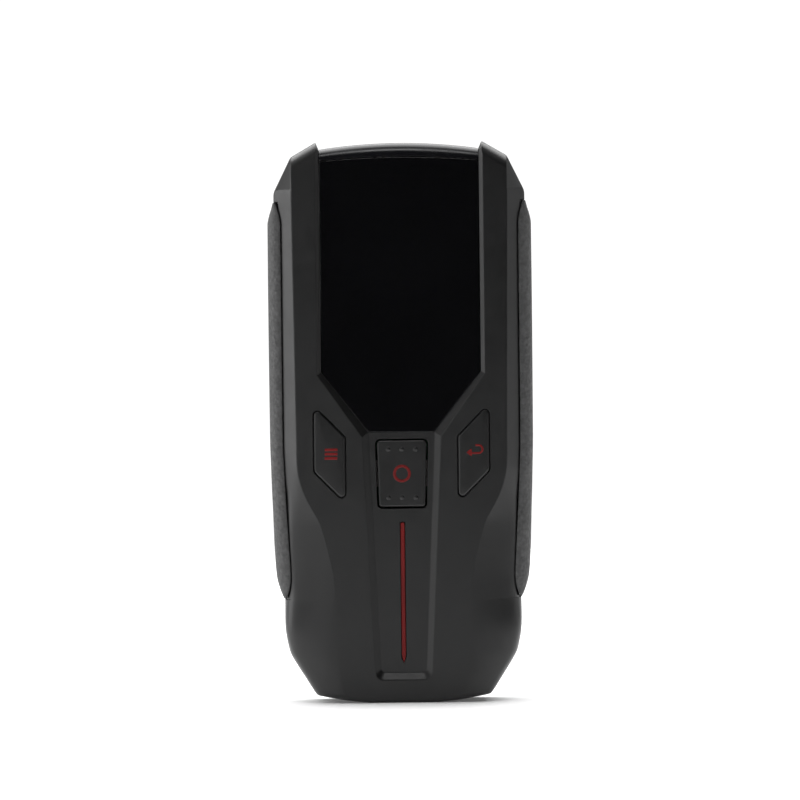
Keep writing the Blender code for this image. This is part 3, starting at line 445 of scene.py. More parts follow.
def inside_back(z):
    return taper(z, BODY_DEPTH) - WALL


def top_z(x):
    return BODY_LENGTH - FIT_GAP - TOP_SAG * (x / CHANNEL_HALF) ** 2


def seam_z(x):
    return BODY_LENGTH - SEAM_DROP - SEAM_SAG * (x / CHANNEL_HALF) ** 2


def level_row(z, face, side, back, turn, joint):
    return (face, z), (side, z), (back, z), turn, joint


def body_rows():
    """Right-hand rows from the top to the foot.

    Each has its places on the face, the side and the back, how the face turns into the side, and how
    it joins the other rows, as refined() takes it.
    """
    top, half, face, pocket = BODY_LENGTH, BODY_HALF, FACE_HALF, POCKET_HALF
    rows = []
    for i in range(3):
        x = CHANNEL_HALF * (i + 1) / 3
        back = (x, top - REAR_CHAMFER - 0.3 * i)
        rows.append(((x, top - 3.0 - 0.2 * i), (x, top_z(x)), back, "round", 0))
    ridge = CHANNEL_HALF + 0.8
    foot_corner = face - 13.5
    rows += [
        ((ridge, top - TOP_ROUND), (ridge, top), (ridge - 0.4, top - 6.6), "round", 0.35),
        ((face, top - 7.7), (face + 0.2, top - 3.9), (half - 7.8, top - 9.2), "round", 0.7),
        ((face, top - 13.2), (half, top - 13.2), (half - 5.5, top - 15.0), "facet", 1.0),
        level_row(GRIP_TOP + 0.3, face, half, half - 5.5, "facet", 0),
        level_row(GRIP_TOP + 0.2, face, pocket, half - 5.5, "facet", 0),
        level_row(TAPER_START, face - 0.7, pocket - 0.1, half - 6.6, "facet", "flow"),
    ]
    # The cheeks, where the facet melts into a soft curve: height, face inset, side inset, softness.
    for z, inset, side_inset, softness in (
            (62.5, 0.8, 0.1, 0.0), (58.5, 1.5, 0.2, 0.25), (55.0, 2.7, 0.35, 0.55), (51.5, 4.5, 0.5, 0.8),
            (48.0, 6.5, 0.6, 0.92), (45.0, 7.5, 0.75, 0.97), (42.0, 8.3, 0.9, 1.0), (34.0, 10.2, 1.2, 1.0),
            (GRIP_BOTTOM - 0.2, 10.9, 1.4, 1.0)):
        back = half - 6.7 - 0.8 * side_inset
        rows.append(level_row(z, face - inset, pocket - side_inset, back, softness, "flow"))
    ledge = half - 1.85 - (pocket - 1.4)    # how far the housing steps out below the grips
    rows += [
        level_row(GRIP_BOTTOM - 0.3, face - 10.9, half - 1.85, half - 7.7, 1 + ledge, 0),
        level_row(GRIP_BOTTOM - 0.6, face - 11.0, half - 1.85, half - 7.7, 1 + ledge, "flow"),
        *[((face - near[0], near[1]), (half - far[0], far[1]), (half - rear[0], rear[1]), 1.0, "flow")
          for near, far, rear in (
              ((11.3, 20.0), (1.9, 20.0), (7.9, 20.6)), ((11.5, 14.6), (2.8, 14.6), (8.6, 16.0)),
              ((11.6, 12.2), (3.7, 12.2), (9.3, 14.2)), ((12.0, 7.0), (7.3, 6.4), (12.3, 10.2)),
              ((13.0, 2.7), (9.9, 2.4), (14.4, 7.8)), ((13.5, 2.2), (10.7, 1.85), (15.1, 7.3)))],
        (((FOOT_HALF + 1.4 * foot_corner) / 2.4, 1.6), ((FOOT_HALF + half - 10.7) / 2, 0.75),
         ((FOOT_HALF + half - 15.1) / 2, 6.5), "foot", "flow"),
        ((FOOT_HALF, 1.2), (FOOT_HALF, 0.0), (FOOT_HALF - 0.5, 5.9), "foot", "flow"),
    ]
    return rows


def quarter(depth, radius):
    return math.sqrt(max(0.0, 1 - max(0.0, 1 - depth / radius) ** 2))


def facet_reach(depth, width):
    """How far a 45 degree facet with two rounded edges has gone across at a depth."""
    first, second = FACE_EDGE_ROUND, SIDE_EDGE_ROUND
    tangent = math.tan(math.radians(22.5))
    sag = 1 - math.cos(math.radians(45))
    if depth < sag * first:
        return math.sqrt(first ** 2 - (first - depth) ** 2) - tangent * first
    if depth < width - sag * second:
        return depth
    if depth < width + tangent * second:
        return width - second + math.sqrt(second ** 2 - (width + tangent * second - depth) ** 2)
    return width


def place_at(row, depth):
    """Where a row is at a depth, as x and z."""
    face, side, _, turn = row[:4]
    if turn == "round":
        share = quarter(depth, TOP_ROUND)
    elif turn == "foot":
        share = quarter(depth, FOOT_ROUND)
    else:
        bulge = 0 if turn == "facet" else max(0, turn - 1)
        width = side[0] - face[0] - bulge
        straight = facet_reach(depth, width) / width
        crease = min(max((face[1] - 20) / 20, 0), 1)
        soft = (1 - max(0.0, 1 - depth / 9) ** 4) ** (0.6 + 0.35 * crease)
        share = straight if turn == "facet" else straight + (soft - straight) * min(turn, 1)
        swell = min(max((depth - 2) / 7, 0), 1)
        across = width * share + bulge * swell ** 2 * (3 - 2 * swell)
        return face[0] + across, face[1] + (side[1] - face[1]) * share
    return face[0] + (side[0] - face[0]) * share, face[1] + (side[1] - face[1]) * share


def body_lines(depths):
    """Refined right-hand lines down the sides of the housing, as lists of (x, z, depth) vectors."""
    rows = body_rows()
    lines = [[Vector((*place_at(row, depth), depth)) for depth in depths] for row in rows]
    return refined(lines, [row[4] for row in rows])


def cavity_rows():
    rows = body_rows()
    below_top = GRIP_TOP + 1.4
    first = ((CHANNEL_HALF, BODY_LENGTH - 4.8), (CHANNEL_HALF, BODY_LENGTH - 1.9), rows[2][2], "round")
    corner = ((FACE_HALF, below_top), (POCKET_HALF, below_top), rows[5][2], "facet")
    kept = [row for row in rows[6:] if row[1][1] < GRIP_TOP and not -0.7 < row[1][1] - GRIP_BOTTOM < -0.25]
    return [first, rows[4], corner] + kept[:-4] + [kept[-3], kept[-1]]


def cavity_ring(depth):
    """Right-hand outline of the hollow at a depth, a wall's thickness inside the face and the sides."""
    rows = cavity_rows()
    under_face = offset_outline(mirrored([place_at(row, depth - WALL) for row in rows]), -0.42 * WALL)
    in_sides = offset_outline(mirrored([row[1] for row in rows]), -WALL)
    places = []
    for row, near, far in zip(rows, under_face, in_sides):
        upper = row[1][1] > BODY_LENGTH / 2
        places.append((min(near[0], far[0]), min(near[1], far[1]) if upper else max(near[1], far[1])))
    return places


def arch(steps):
    """The seam under the top window, from its left end to its right."""
    places = [CHANNEL_HALF * i / steps for i in range(-steps, steps + 1)]
    return [(x, seam_z(x)) for x in places]


def channel_outline(ridge, neck, top):
    """The channel's outline, widened by a bevel along the upper ridges and one along the neck."""
    right = [
        (CHANNEL_HALF + ridge, top), (CHANNEL_HALF + ridge, SHOULDER_Z - 0.6 * ridge),
        (NECK_HALF + neck, NECK_Z - 0.7 * neck),
        (CHANNEL_FOOT_HALF + 0.9 * neck, CHANNEL_FOOT_Z - 1.2 * neck)]
    radii = [0, 0.3, 0.3, max(1.0 + 0.75 * neck, 0.3)]
    return rounded(mirrored(right), radii + radii[::-1], 8)


def window_outline(inset):
    steps = 10
    right = arch(steps)[steps + 1:] + [(CHANNEL_HALF, SHOULDER_Z), (NECK_HALF, NECK_Z)]
    return offset_outline(mirrored(right) + [(0, seam_z(0))], -inset)


def key_outline(side, grow):
    corners = [
        (KEY_X + KEY_HALF, KEY_TOP_Z), (KEY_X + KEY_HALF, KEY_OUTER_Z),
        (KEY_X - KEY_HALF, KEY_BOTTOM_Z), (KEY_X - KEY_HALF, KEY_INNER_Z)]
    radii = [1.0 + grow, 1.5 + grow, 1.0 + grow, 1.5 + grow]
    return [(side * x, z) for x, z in rounded(offset_outline(corners, grow), radii)]


def rocker_outline(grow):
    right = [(ROCKER_TOP_HALF, ROCKER_TOP_Z), (ROCKER_FOOT_HALF, ROCKER_FOOT_Z)]
    return rounded(offset_outline(mirrored(right), grow), [0.9 + grow] * 4)


def light_outline(grow):
    half = LIGHT_WIDTH / 2 + grow
    right = [(half, LIGHT_TOP_Z + grow), (half, LIGHT_FOOT_Z + 1.6 - grow)]
    return right + [(0, LIGHT_FOOT_Z - grow), (-half, right[1][1]), (-half, right[0][1])]


def lipped_hole(name, outline, surface, back, lip=0.12):
    """A cutter for a hole whose front edge is rounded over. outline(grow) gives its shape."""
    rings = [ring(outline(lip + 0.5), surface - 0.05)]
    rings += [ring(outline(wider), surface + behind) for wider, behind in rounding(lip, 4)[1:]]
    return loft(name, rings + [ring(outline(0), back)])


def channel_profile():
    """The channel's slope from rim to floor, as (share of the bevel, depth), with eased edges."""
    corners = [(2.5, 0.0), (1.0, 0.0), (0.0, CHANNEL_DEPTH), (-1.5, CHANNEL_DEPTH)]
    return rounded(corners, [0, 0.32, 0.25, 0], 5)[1:-1]


# Shells

def eased_end(places, depth, direction):
    """Two rings that ease the edge of a shell at its seam."""
    outline = mirrored(places)
    inner = offset_outline(outline, -LIP)
    rings = [ring(outline, depth - direction * LIP), ring(inner, depth)]
    return rings if direction > 0 else rings[::-1]


def make_front_cover():
    lines = body_lines(RING_DEPTHS)
    rings = rings_through(lines) + eased_end([tuple(line[-1][:2]) for line in lines], PARTING, 1)
    cover = loft("front_shell", rings)
    depths = (WALL, WALL + 1.2, WALL + 2.7, WALL + FACET, WALL + 9, PARTING + 1)
    cut(cover, loft("front_hollow", [ring(mirrored(cavity_ring(depth)), depth) for depth in depths]))
    tray = offset_outline(channel_outline(RIDGE_BEVEL, NECK_BEVEL, BODY_LENGTH - 4.4), TRAY_BORDER)
    posts = [post(f"front_boss_{i}", x, z, (1.3 if z > SHOULDER_Z else 2.2, PARTING - SEAM_GAP), BOSS_RADIUS)
             for i, (x, z) in enumerate(BOSSES)]
    posts += [post(f"board_post_{side}", side * POST[0], POST[1], (1.2, BOARD_FRONT - FIT_GAP), POST_RADIUS)
              for side in (1, -1)]
    join(cover, prism("channel_tray", tray, (0.9, TRAY_BACK)), *posts)
    cut(cover, *face_cutters())
    cut(cover, lipped_hole(
        "rocker_opening", lambda grow: rocker_outline(ROCKER_GAP + grow), CHANNEL_DEPTH, TRAY_BACK + 1))
    return finish(cover, "housing", "shell_plastic", "front_cover")


def face_cutters():
    above = BODY_LENGTH + 3
    profile = channel_profile()

    def slope(share):
        return channel_outline(RIDGE_BEVEL * share, NECK_BEVEL * share, above)

    rings = [ring(slope(profile[1][0] + 1.2), -0.1)]
    rings += [ring(slope(share), depth) for share, depth in profile[1:]]
    notch = arch(12) + [(CHANNEL_HALF, above), (-CHANNEL_HALF, above)]
    port_half = PORT_HALF + PORT_GAP
    port_depth = (PORT_FRONT - PORT_GAP, PORT_BACK + PORT_GAP)
    tools = [
        loft("channel", rings),
        prism("top_notch", notch, (-2, PARTING + 1)),
        prism("window_pocket", window_outline(0), (0.5, LEDGE_FRONT)),
        prism("window_opening", window_outline(LEDGE), (0.5, TRAY_BACK + 1)),
        prism("light_slot", light_outline(SEAM_GAP), (-1, TRAY_BACK + 1)),
        box("port_opening", (-port_half, port_half), (-1, 3.5), port_depth)]
    for side in (1, -1):
        tools.append(lipped_hole(
            f"key_opening_{side}", lambda grow, side=side: key_outline(side, KEY_GAP + grow), 0, WALL + 2))
        space = key_outline(side, KEY_FLANGE + KEY_GAP)
        tools.append(prism(f"flange_space_{side}", space, (WALL, TRAY_BACK + 1)))
        tools.append(post(f"post_pilot_{side}", side * POST[0], POST[1], (4.5, BOARD_FRONT + 1), POST_HOLE))
    tools += [post(f"pilot_{i}", x, z, (5.5, PARTING + 1), BOSS_HOLE) for i, (x, z) in enumerate(BOSSES)]
    return tools


def rear_profile():
    """From the side to the back of the rear cover, as (share from side place to back place, depth)."""
    straight = BODY_DEPTH - REAR_CHAMFER
    across = 8.0
    corners = [(0, REAR_START), (0, straight), (0.42 * across, straight + 0.56 * REAR_CHAMFER),
               (across, BODY_DEPTH), (3 * across, BODY_DEPTH)]
    return [(x / across, depth) for x, depth in rounded(corners, [0, 3.0, 4.0, 3.0, 0], 6)[1:-1]]


def make_rear_cover():
    rows = body_rows()
    profile = [(0, REAR_START + LIP + 0.02), (0, 20.0)] + rear_profile()
    lines = []
    for _, side, back, _, _ in rows:
        line = []
        for share, depth in profile:
            x, z = (side[k] + (back[k] - side[k]) * share for k in (0, 1))
            line.append(Vector((x, z, taper(z, depth))))
        lines.append(line)
    lines = refined(lines, [row[4] for row in rows])
    first = eased_end([tuple(line[0][:2]) for line in lines], REAR_START, -1)
    cover = loft("rear_shell", first[:1] + rings_through(lines), row_caps=True)

    side = cavity_ring(PARTING)
    back = offset_outline(mirrored([row[2] for row in cavity_rows()]), -0.42 * WALL)[:len(side)]
    turn = BODY_DEPTH - REAR_CHAMFER - 0.42 * WALL
    hollow = [ring(mirrored(side), REAR_START - 1),
              [(x, z, taper(z, turn)) for x, z in mirrored(side)],
              [(x, z, inside_back(z)) for x, z in mirrored(back)]]
    cut(cover, loft("rear_hollow", hollow, row_caps=True))
    join(cover, seam_tongue(mirrored(side)), *[
        post(f"rear_boss_{i}", x, z, (REAR_START, inside_back(z) + 0.6), BOSS_RADIUS + 0.4)
        for i, (x, z) in enumerate(BOSSES)])
    tools = [box("rear_notch", (-CHANNEL_HALF, CHANNEL_HALF), (BODY_LENGTH - 7, BODY_LENGTH + 2),
                 (REAR_START - 2, BODY_DEPTH - REAR_CHAMFER - 0.1))]
    for i, (x, z) in enumerate(BOSSES):
        tools.append(post(f"screw_hole_{i}", x, z, (PARTING - 1, SCREW_HEAD_SEAT + 1), BOSS_HOLE))
        tools.append(head_hole(f"head_hole_{i}", x, z))
    tools += speaker_slots()
    pocket = (PAD_BACK - PAD_THICKNESS - SEAM_GAP, BODY_DEPTH + 2)
    tools.append(prism("pad_pocket", pad_outline(SEAM_GAP), pocket))
    cut(cover, *tools)
    return finish(cover, "housing", "shell_plastic", "rear_cover")


def seam_tongue(inside):
    """The lip inside the seam, which bridges the gap between the two shells."""
    levels = [
        (-0.1, PARTING - 1.2), (-0.1, REAR_START + 0.1), (0.4, REAR_START + 0.2), (0.4, REAR_START + 1.5)]
    tongue = loft("seam_tongue", [ring(offset_outline(inside, grow), depth) for grow, depth in levels])
    cut(tongue, prism("tongue_hollow", offset_outline(inside, -0.8), (PARTING - 3, REAR_START + 3)))
    return tongue


def head_hole(name, x, z):
    """A screw's sink hole, whose mouth in the back is chamfered."""
    radius = SCREW_HEAD_RADIUS + FIT_GAP
    mouth = taper(z, BODY_DEPTH)
    seat = SCREW_HEAD_SEAT
    points = [(radius, seat), (radius, mouth - 0.35), (radius + 0.35, mouth), (radius + 2.4, mouth + 2)]
    return turned(name, [(r, depth - seat) for r, depth in points], (x, z, seat), 1)


def speaker_slots():
    slots = []
    for i in range(-3, 4):
        height = i * 2.8
        reach = math.sqrt((SPEAKER_RADIUS - 3) ** 2 - height ** 2)
        outline = [(reach, SPEAKER_Z + height + 0.6), (reach, SPEAKER_Z + height - 0.6)]

        def grown(grow, outline=outline):
            return rounded(offset_outline(mirrored(outline), grow), [0.55 + grow] * 4, 6)

        levels = [(0.9, 0.6), (0.3, 0), (0.08, -0.12), (0, -0.35), (0, -WALL - 1)]
        rings = [ring(grown(grow), BODY_DEPTH + behind) for grow, behind in levels]
        slots.append(loft(f"speaker_slot_{i + 4}", rings))
    return slots


def pad_outline(grow):
    low_corner, high_corner = low("rear_pad"), high("rear_pad")
    right = [(high_corner.x, high_corner.z), (high_corner.x, low_corner.z)]
    return rounded(offset_outline(mirrored(right), grow), [3.0 + grow] * 4)


# Grips

def pocket_x(z, depth):
    """Half width of the housing at a height within the grip pockets."""
    rows = [row for row in body_rows() if GRIP_BOTTOM - 0.25 < row[1][1] < GRIP_TOP + 0.25]
    z = min(max(z, rows[-1][1][1]), rows[0][1][1])
    for upper, lower in zip(rows, rows[1:]):
        if z >= lower[1][1]:
            share = (z - lower[1][1]) / (upper[1][1] - lower[1][1])
            near, far = place_at(lower, depth)[0], place_at(upper, depth)[0]
            return near + (far - near) * share


def grip_stations():
    """Height, half width of the front edge, and half width of the outside, top to foot."""
    outer = GRIP_WIDTH / 2
    edge = outer - GRIP_CROWN
    insets = (
        (GRIP_TOP, -1.55, 1.6), (GRIP_TOP - 1.6, -0.8, 1.05), (GRIP_TOP - 3.8, -0.25, 0.35),
        (GRIP_TOP - 5.8, 0, 0), (TAPER_START, 0.05, 0.05), (62.5, 0.3, 0.25), (58.5, 0.45, 0.35),
        (55.0, 0.65, 0.45), (51.5, 0.8, 0.6), (48.0, 1.0, 0.7), (45.0, 1.2, 0.8), (42.0, 1.35, 0.9),
        (34.0, 1.75, 1.4), (31.0, 1.55, 2.1), (GRIP_BOTTOM, 0.6, 3.35))
    points = [[Vector((z, edge - front, outer - side))] for z, front, side in insets]
    return [tuple(line[0]) for line in refined(points, ["flow"] * len(points), 4)]


def edge_depth(z, edge):
    """The depth at which the housing reaches the grip's front edge."""
    near, far = 0.0, 9.0
    for _ in range(30):
        middle = (near + far) / 2
        if pocket_x(z, middle) + 1.5 * FIT_GAP < edge:
            near = middle
        else:
            far = middle
    return near


def grip_section(z, edge, outer):
    """A grip's outline at a height, as (x, depth)."""
    inner = pocket_x(z, PARTING) + FIT_GAP
    front = edge_depth(z, min(edge, inner - 0.1)) + max(0, edge - inner)
    crown = outer - edge
    lean = crown / GRIP_CROWN
    ease = 0.22
    section = [(edge, front + ease), (edge + 0.25 * ease, front + 0.3 * ease), (edge + ease, front)]
    section += [(edge + ease + (crown - ease) * math.sin(t), front + 1.23 * crown * (1 - math.cos(t)))
                for t in angles(8)[1:]]
    section.append((outer, PARTING))
    section += [(outer - inset * lean, GRIP_BACK - ahead) for inset, ahead in (
        (0, 5.4), (0.15, 3.6), (0.5, 2.1), (0.9, 1.1), (1.5, 0.35), (1.9, 0.05))]
    section += [(inner + 0.35 * lean + 0.1, GRIP_BACK), (inner, GRIP_BACK - 0.4), (inner, PARTING)]
    for share in (1.0, 0.6, 0.35, 0.18, 0.1):
        depth = front + (9 - front) * share
        section.append((min(pocket_x(z, depth) + 1.5 * FIT_GAP, inner), depth))
    return section


def make_grip(name, side, node):
    rings = []
    stations = grip_stations()
    for i, (z, edge, outer) in enumerate(stations):
        section = grip_section(z, edge, outer)
        from_end = min(i, len(stations) - 1 - i)
        if from_end == 0:    # the ends are eased by a smaller ring outside a full one
            inward = 0.25 if i == 0 else -0.25
            middle = Vector([sum(values) / len(section) for values in zip(*section)])
            small = [tuple(Vector(place).lerp(middle, 0.1)) for place in section]
            near = [(side * x, z - inward, taper(z, depth)) for x, depth in section]
            end = [(side * x, z, taper(z, depth)) for x, depth in small]
            rings += [end, near] if i == 0 else [near, end]
        else:
            rings.append([(side * x, z, taper(z, depth)) for x, depth in section])
    return finish(loft(name, rings), "housing", "grip_rubber", node, smooth_angle=50, weighted=False)


# Windows and lights

def make_display_window():
    depth = (CHANNEL_DEPTH, CHANNEL_DEPTH + WINDOW_THICKNESS)
    window = eased_prism("display_glass", window_outline(WINDOW_GAP), depth, 0.12)
    return finish(window, "housing", "display_gloss", "display_window")


def make_top_window():
    """The curved cap that laser light comes in through."""
    half = CHANNEL_HALF - WINDOW_GAP
    columns = 32
    bm = bmesh.new()
    grid = []
    for i in range(columns + 1):
        x = half * (2 * i / columns - 1)
        top = top_z(x)
        radius = min(TOP_WINDOW_ROUND, top - seam_z(x) - 0.2)
        line = [(x, seam_z(x) + WINDOW_GAP, CHANNEL_DEPTH)]
        line += [(x, top - radius * below, CHANNEL_DEPTH + TOP_WINDOW_ROUND * behind)
                 for below, behind in rounding(1, 12)]
        line += [(x, top, PARTING), (x, top, BODY_DEPTH - REAR_CHAMFER - FIT_GAP)]
        grid.append([bm.verts.new(at(*place)) for place in line])
    for first, second in zip(grid, grid[1:]):
        for j in range(len(first) - 1):
            bm.faces.new((first[j], second[j], second[j + 1], first[j + 1]))
    window = add_object("top_cap", bm, closed=False)
    thicken = window.modifiers.new("thickness", "SOLIDIFY")
    thicken.thickness = TOP_WINDOW_THICKNESS * MM
    thicken.offset = -1
    thicken.use_even_offset = True
    bevel(window, 0.15, 3, 50)
    return finish(window, "housing", "top_tint", "laser_window", smooth_angle=40)


def make_light_line():
    line = eased_prism("light_line", light_outline(0), (CHANNEL_DEPTH - 0.02, LIGHT_BACK), 0.12)
    join(line, box("light_flange", (-1.6, 1.6), (LIGHT_FOOT_Z + 2, LIGHT_TOP_Z - 2),
                   (TRAY_BACK + FIT_GAP, TRAY_BACK + FIT_GAP + 1)))
    return finish(line, "housing", "light_red", "light_pipe")


# Keys

def make_side_key(name, side, body, node):
    """A side key: a slanted cap with eased edges on a flange, and the stem that presses its switch."""
    middle = side * KEY_X
    flange = (WALL + FIT_GAP, WALL + FIT_GAP + KEY_FLANGE_THICKNESS)
    root = flange[0] + 0.4
    ease = 0.45
    crown = 0.08             # how far the middle stands out
    edge = key_outline(side, -ease)
    rings = []
    for share in (0.3, 0.55, 0.8):
        places = [(middle + (x - middle) * share, KEY_Z + (z - KEY_Z) * share) for x, z in edge]
        rings.append(ring(places, -KEY_PROUD + crown * share ** 2))
    for inside, behind in rounding(ease, 6):
        rings.append(ring(key_outline(side, -inside), -KEY_PROUD + crown + behind * (1 - crown / ease)))
    key = loft(name, rings + [ring(key_outline(side, 0), root)])
    join(key, prism(f"{name}_flange", key_outline(side, KEY_FLANGE), flange),
         post(f"{name}_stem", middle, KEY_Z, (root, SWITCH_TIP - FIT_GAP), KEY_STEM_RADIUS))
    return finish(key, body, "key_plastic", node)


def make_rocker():
    """The rocker key: a pad with six raised dots, a lug for its pin and two pegs."""
    rings = eased_rings(rocker_outline, ROCKER_FRONT, 0.5, 6)
    key = loft("rocker_pad", rings + [ring(rocker_outline(0), ROCKER_BACK)])
    root = ROCKER_BACK - 0.5
    lug = (-LUG_HALF, LUG_HALF), (ROCKER_Z - 1.5, ROCKER_Z + 1.5), (root, PIN_DEPTH + 1.35)
    extras = [box("rocker_lug", *lug)]
    for end in (1, -1):
        z = ROCKER_Z + end * ROCKER_PEG_REACH
        extras.append(post(f"rocker_peg_{end}", 0, z, (root, SWITCH_TIP - FIT_GAP), ROCKER_PEG_RADIUS))
    join(key, *extras)
    ends = [(side * (LUG_HALF + 1), ROCKER_Z, PIN_DEPTH) for side in (-1, 1)]
    cut(key, rod("rocker_bore", *ends, PIN_RADIUS + FIT_GAP))
    dots = []
    radius, rise = 0.66, 0.36
    dome = [(radius + 0.02, -0.3), (radius, 0)]
    dome += [(radius * math.cos(t), rise * math.sin(t)) for t in angles(6)[1:-1]] + [(0.02, rise)]
    for end in (1, -1):
        for across in (-1, 0, 1):
            place = (across * DOT_PITCH, ROCKER_Z + end * DOT_REACH, ROCKER_FRONT + 0.1)
            dots.append(turned(f"rocker_dot_{end}_{across}", dome, place, -1, 24))
    join(key, *dots)
    return finish(key, "rocker", "key_plastic", "rocker_key")


def stroke(name, points, width, depth, closed=False):
    """A thin printed line along points of (x, z)."""
    curve = bpy.data.curves.new(name, "CURVE")
    curve.dimensions = "3D"
    spline = curve.splines.new("POLY")
    spline.points.add(len(points) - 1)
    for point, (x, z) in zip(spline.points, points):
        point.co = (*at(x, z, depth), 1)
    spline.use_cyclic_u = closed
    curve.bevel_depth = width / 2 * MM
    curve.bevel_resolution = 4
    curve.use_fill_caps = True
    holder = bpy.data.objects.new(name, curve)
    bpy.context.scene.collection.objects.link(holder)
    bpy.context.view_layer.update()
    mesh = bpy.data.meshes.new_from_object(holder.evaluated_get(bpy.context.evaluated_depsgraph_get()))
    bpy.data.objects.remove(holder)
    middle = FACE_Y + depth
    for vertex in mesh.vertices:    # flatten the round line into a thin print
        vertex.co.y = (middle + (vertex.co.y / MM - middle) * 2 * PRINT / width) * MM
    bm = bmesh.new()
    bm.from_mesh(mesh)
    bmesh.ops.remove_doubles(bm, verts=bm.verts, dist=1e-6)
    return add_object(name, bm)


def make_icons():
    """The three bars, the return arrow and the ring, printed in red."""
    face = -KEY_PROUD
    for i in (-1, 0, 1):
        z, slant = 65.95 + 1.12 * i, 0.04 * i
        bar = stroke(f"menu_bar_{i + 2}", [(-20.35 + slant, z), (-17.0 + slant, z)], 0.72, face)
        finish(bar, "menu_key", "light_red", weighted=False)
    radius = 1.05
    turns = [math.pi * i / 10 for i in range(11)]
    bend = [(20.3 + radius * math.sin(a), 66.85 + radius * math.cos(a)) for a in turns]
    hook = stroke("back_hook", [(19.5, 67.9)] + bend + [(18.0, 65.8)], 0.5, face)
    finish(hook, "back_key", "light_red", weighted=False)
    head = rounded([(17.05, 66.0), (18.5, 67.1), (18.5, 64.9)], [0.15] * 3, 4)
    arrow = prism("back_arrowhead", head, (face - PRINT, face + PRINT))
    finish(arrow, "back_key", "light_red", weighted=False)
    loop = stroke("select_ring", circle(48, 1.98, (0, ROCKER_Z)), 0.75, ROCKER_FRONT, closed=True)
    finish(loop, "rocker", "light_red", weighted=False)


# Rear pad, port and screws

def make_rear_pad():
    """A rubber pad with a soft edge, and grooves that leave low ribs."""
    ease = 0.35
    rings = [ring(pad_outline(0), PAD_BACK - PAD_THICKNESS)]
    rings += [ring(pad_outline(-inside), PAD_BACK - ahead) for ahead, inside in rounding(ease, 5)]
    pad = loft("back_pad", rings)
    low_corner, high_corner = low("rear_pad"), high("rear_pad")
    count = 7
    pitch = (high_corner.z - low_corner.z - 4) / (count - 1)
    reach = high_corner.x - 2.6
    tools = []
    for i in range(count):
        z = low_corner.z + 2 + pitch * i
        outline = rounded(mirrored([(reach, z + 0.45), (reach, z - 0.45)]), [0.44] * 4, 5)
        levels = [(0, 0.5), (0, -0.02), (-0.2, -0.3)]
        tools.append(loft(f"pad_groove_{i}", [
            ring(offset_outline(outline, grow), PAD_BACK + behind) for grow, behind in levels]))
    cut(pad, *tools)
    return finish(pad, "housing", "grip_rubber", "rear_pad")


def make_port():
    """The charging socket: a rounded metal sleeve, open at the foot, with a contact tongue inside."""
    top, foot = high("usb_socket").z, low("usb_socket").z
    wall = 0.4
    middle = (PORT_FRONT + PORT_BACK) / 2

    def sleeve(shrink, corner):
        half, tall = PORT_HALF - shrink, (PORT_BACK - PORT_FRONT) / 2 - shrink
        corners = [(half, tall), (half, -tall), (-half, -tall), (-half, tall)]
        return rounded(corners, [corner] * 4, 6)

    def level(shrink, corner, z):
        return [(x, z, middle + across) for x, across in sleeve(shrink, corner)]

    port = loft("charging_port", [level(0.1, 1.2, foot), level(0, 1.3, foot + 0.1), level(0, 1.3, top)])
    hollow = [
        (wall - 0.1, 1.0, foot - 1), (wall - 0.1, 1.0, foot), (wall, 0.9, foot + 0.1), (wall, 0.9, top - 1)]
    cut(port, loft("port_hollow", [level(*row) for row in hollow]))
    join(port, box("port_tongue", (-3.3, 3.3), (foot + 1.0, top - 0.5), (middle - 0.35, middle + 0.35)))
    return finish(port, "housing", "steel", "usb_socket")


def make_screws():
    """The four pan-head screws in the back, each with a cross recess."""
    seat = SCREW_HEAD_SEAT + FIT_GAP
    radius, head, thread = SCREW_HEAD_RADIUS, 1.5, 0.8
    points = [(0.02, -6.5), (thread, -5.9), (thread, 0), (radius, 0), (radius, 0.8)]
    points += [(radius - 0.9 * (1 - math.cos(t)), 0.8 + 0.7 * math.sin(t)) for t in angles(6)[1:]]
    points.append((0.02, head))
    for i, (x, z) in enumerate(BOSSES):
        screw = turned(f"back_screw_{i + 1}", points, (x, z, seat), 1, 40)
        tools = []
        for j, turn in enumerate((0, 90)):
            ends = []
            for reach, width, depth in ((0.95, 0.24, seat + head + 0.5), (0.75, 0.18, seat + head - 0.75)):
                spun = [Vector(corner) for corner in mirrored([(reach, width), (reach, -width)])]
                for corner in spun:
                    corner.rotate(Matrix.Rotation(math.radians(turn + 20 * i), 2))
                ends.append([(x + corner.x, z + corner.y, depth) for corner in spun])
            tools.append(loft(f"cross_{i}_{j}", ends))
        cut(screw, *tools)
        finish(screw, "housing", "steel", f"cover_screw_{i + 1}")


# Materials

def feed(tree, node, inputs):
    """Give a node's inputs their values, or link them from the sockets given."""
    for key, value in inputs.items():
        if isinstance(value, bpy.types.NodeSocket):
            tree.links.new(value, node.inputs[key])
        else:
            node.inputs[key].default_value = value


def add_node(tree, kind, inputs=None, **settings):
    node = tree.nodes.new(kind)
    for key, value in settings.items():
        setattr(node, key, value)
    feed(tree, node, inputs or {})
    return node


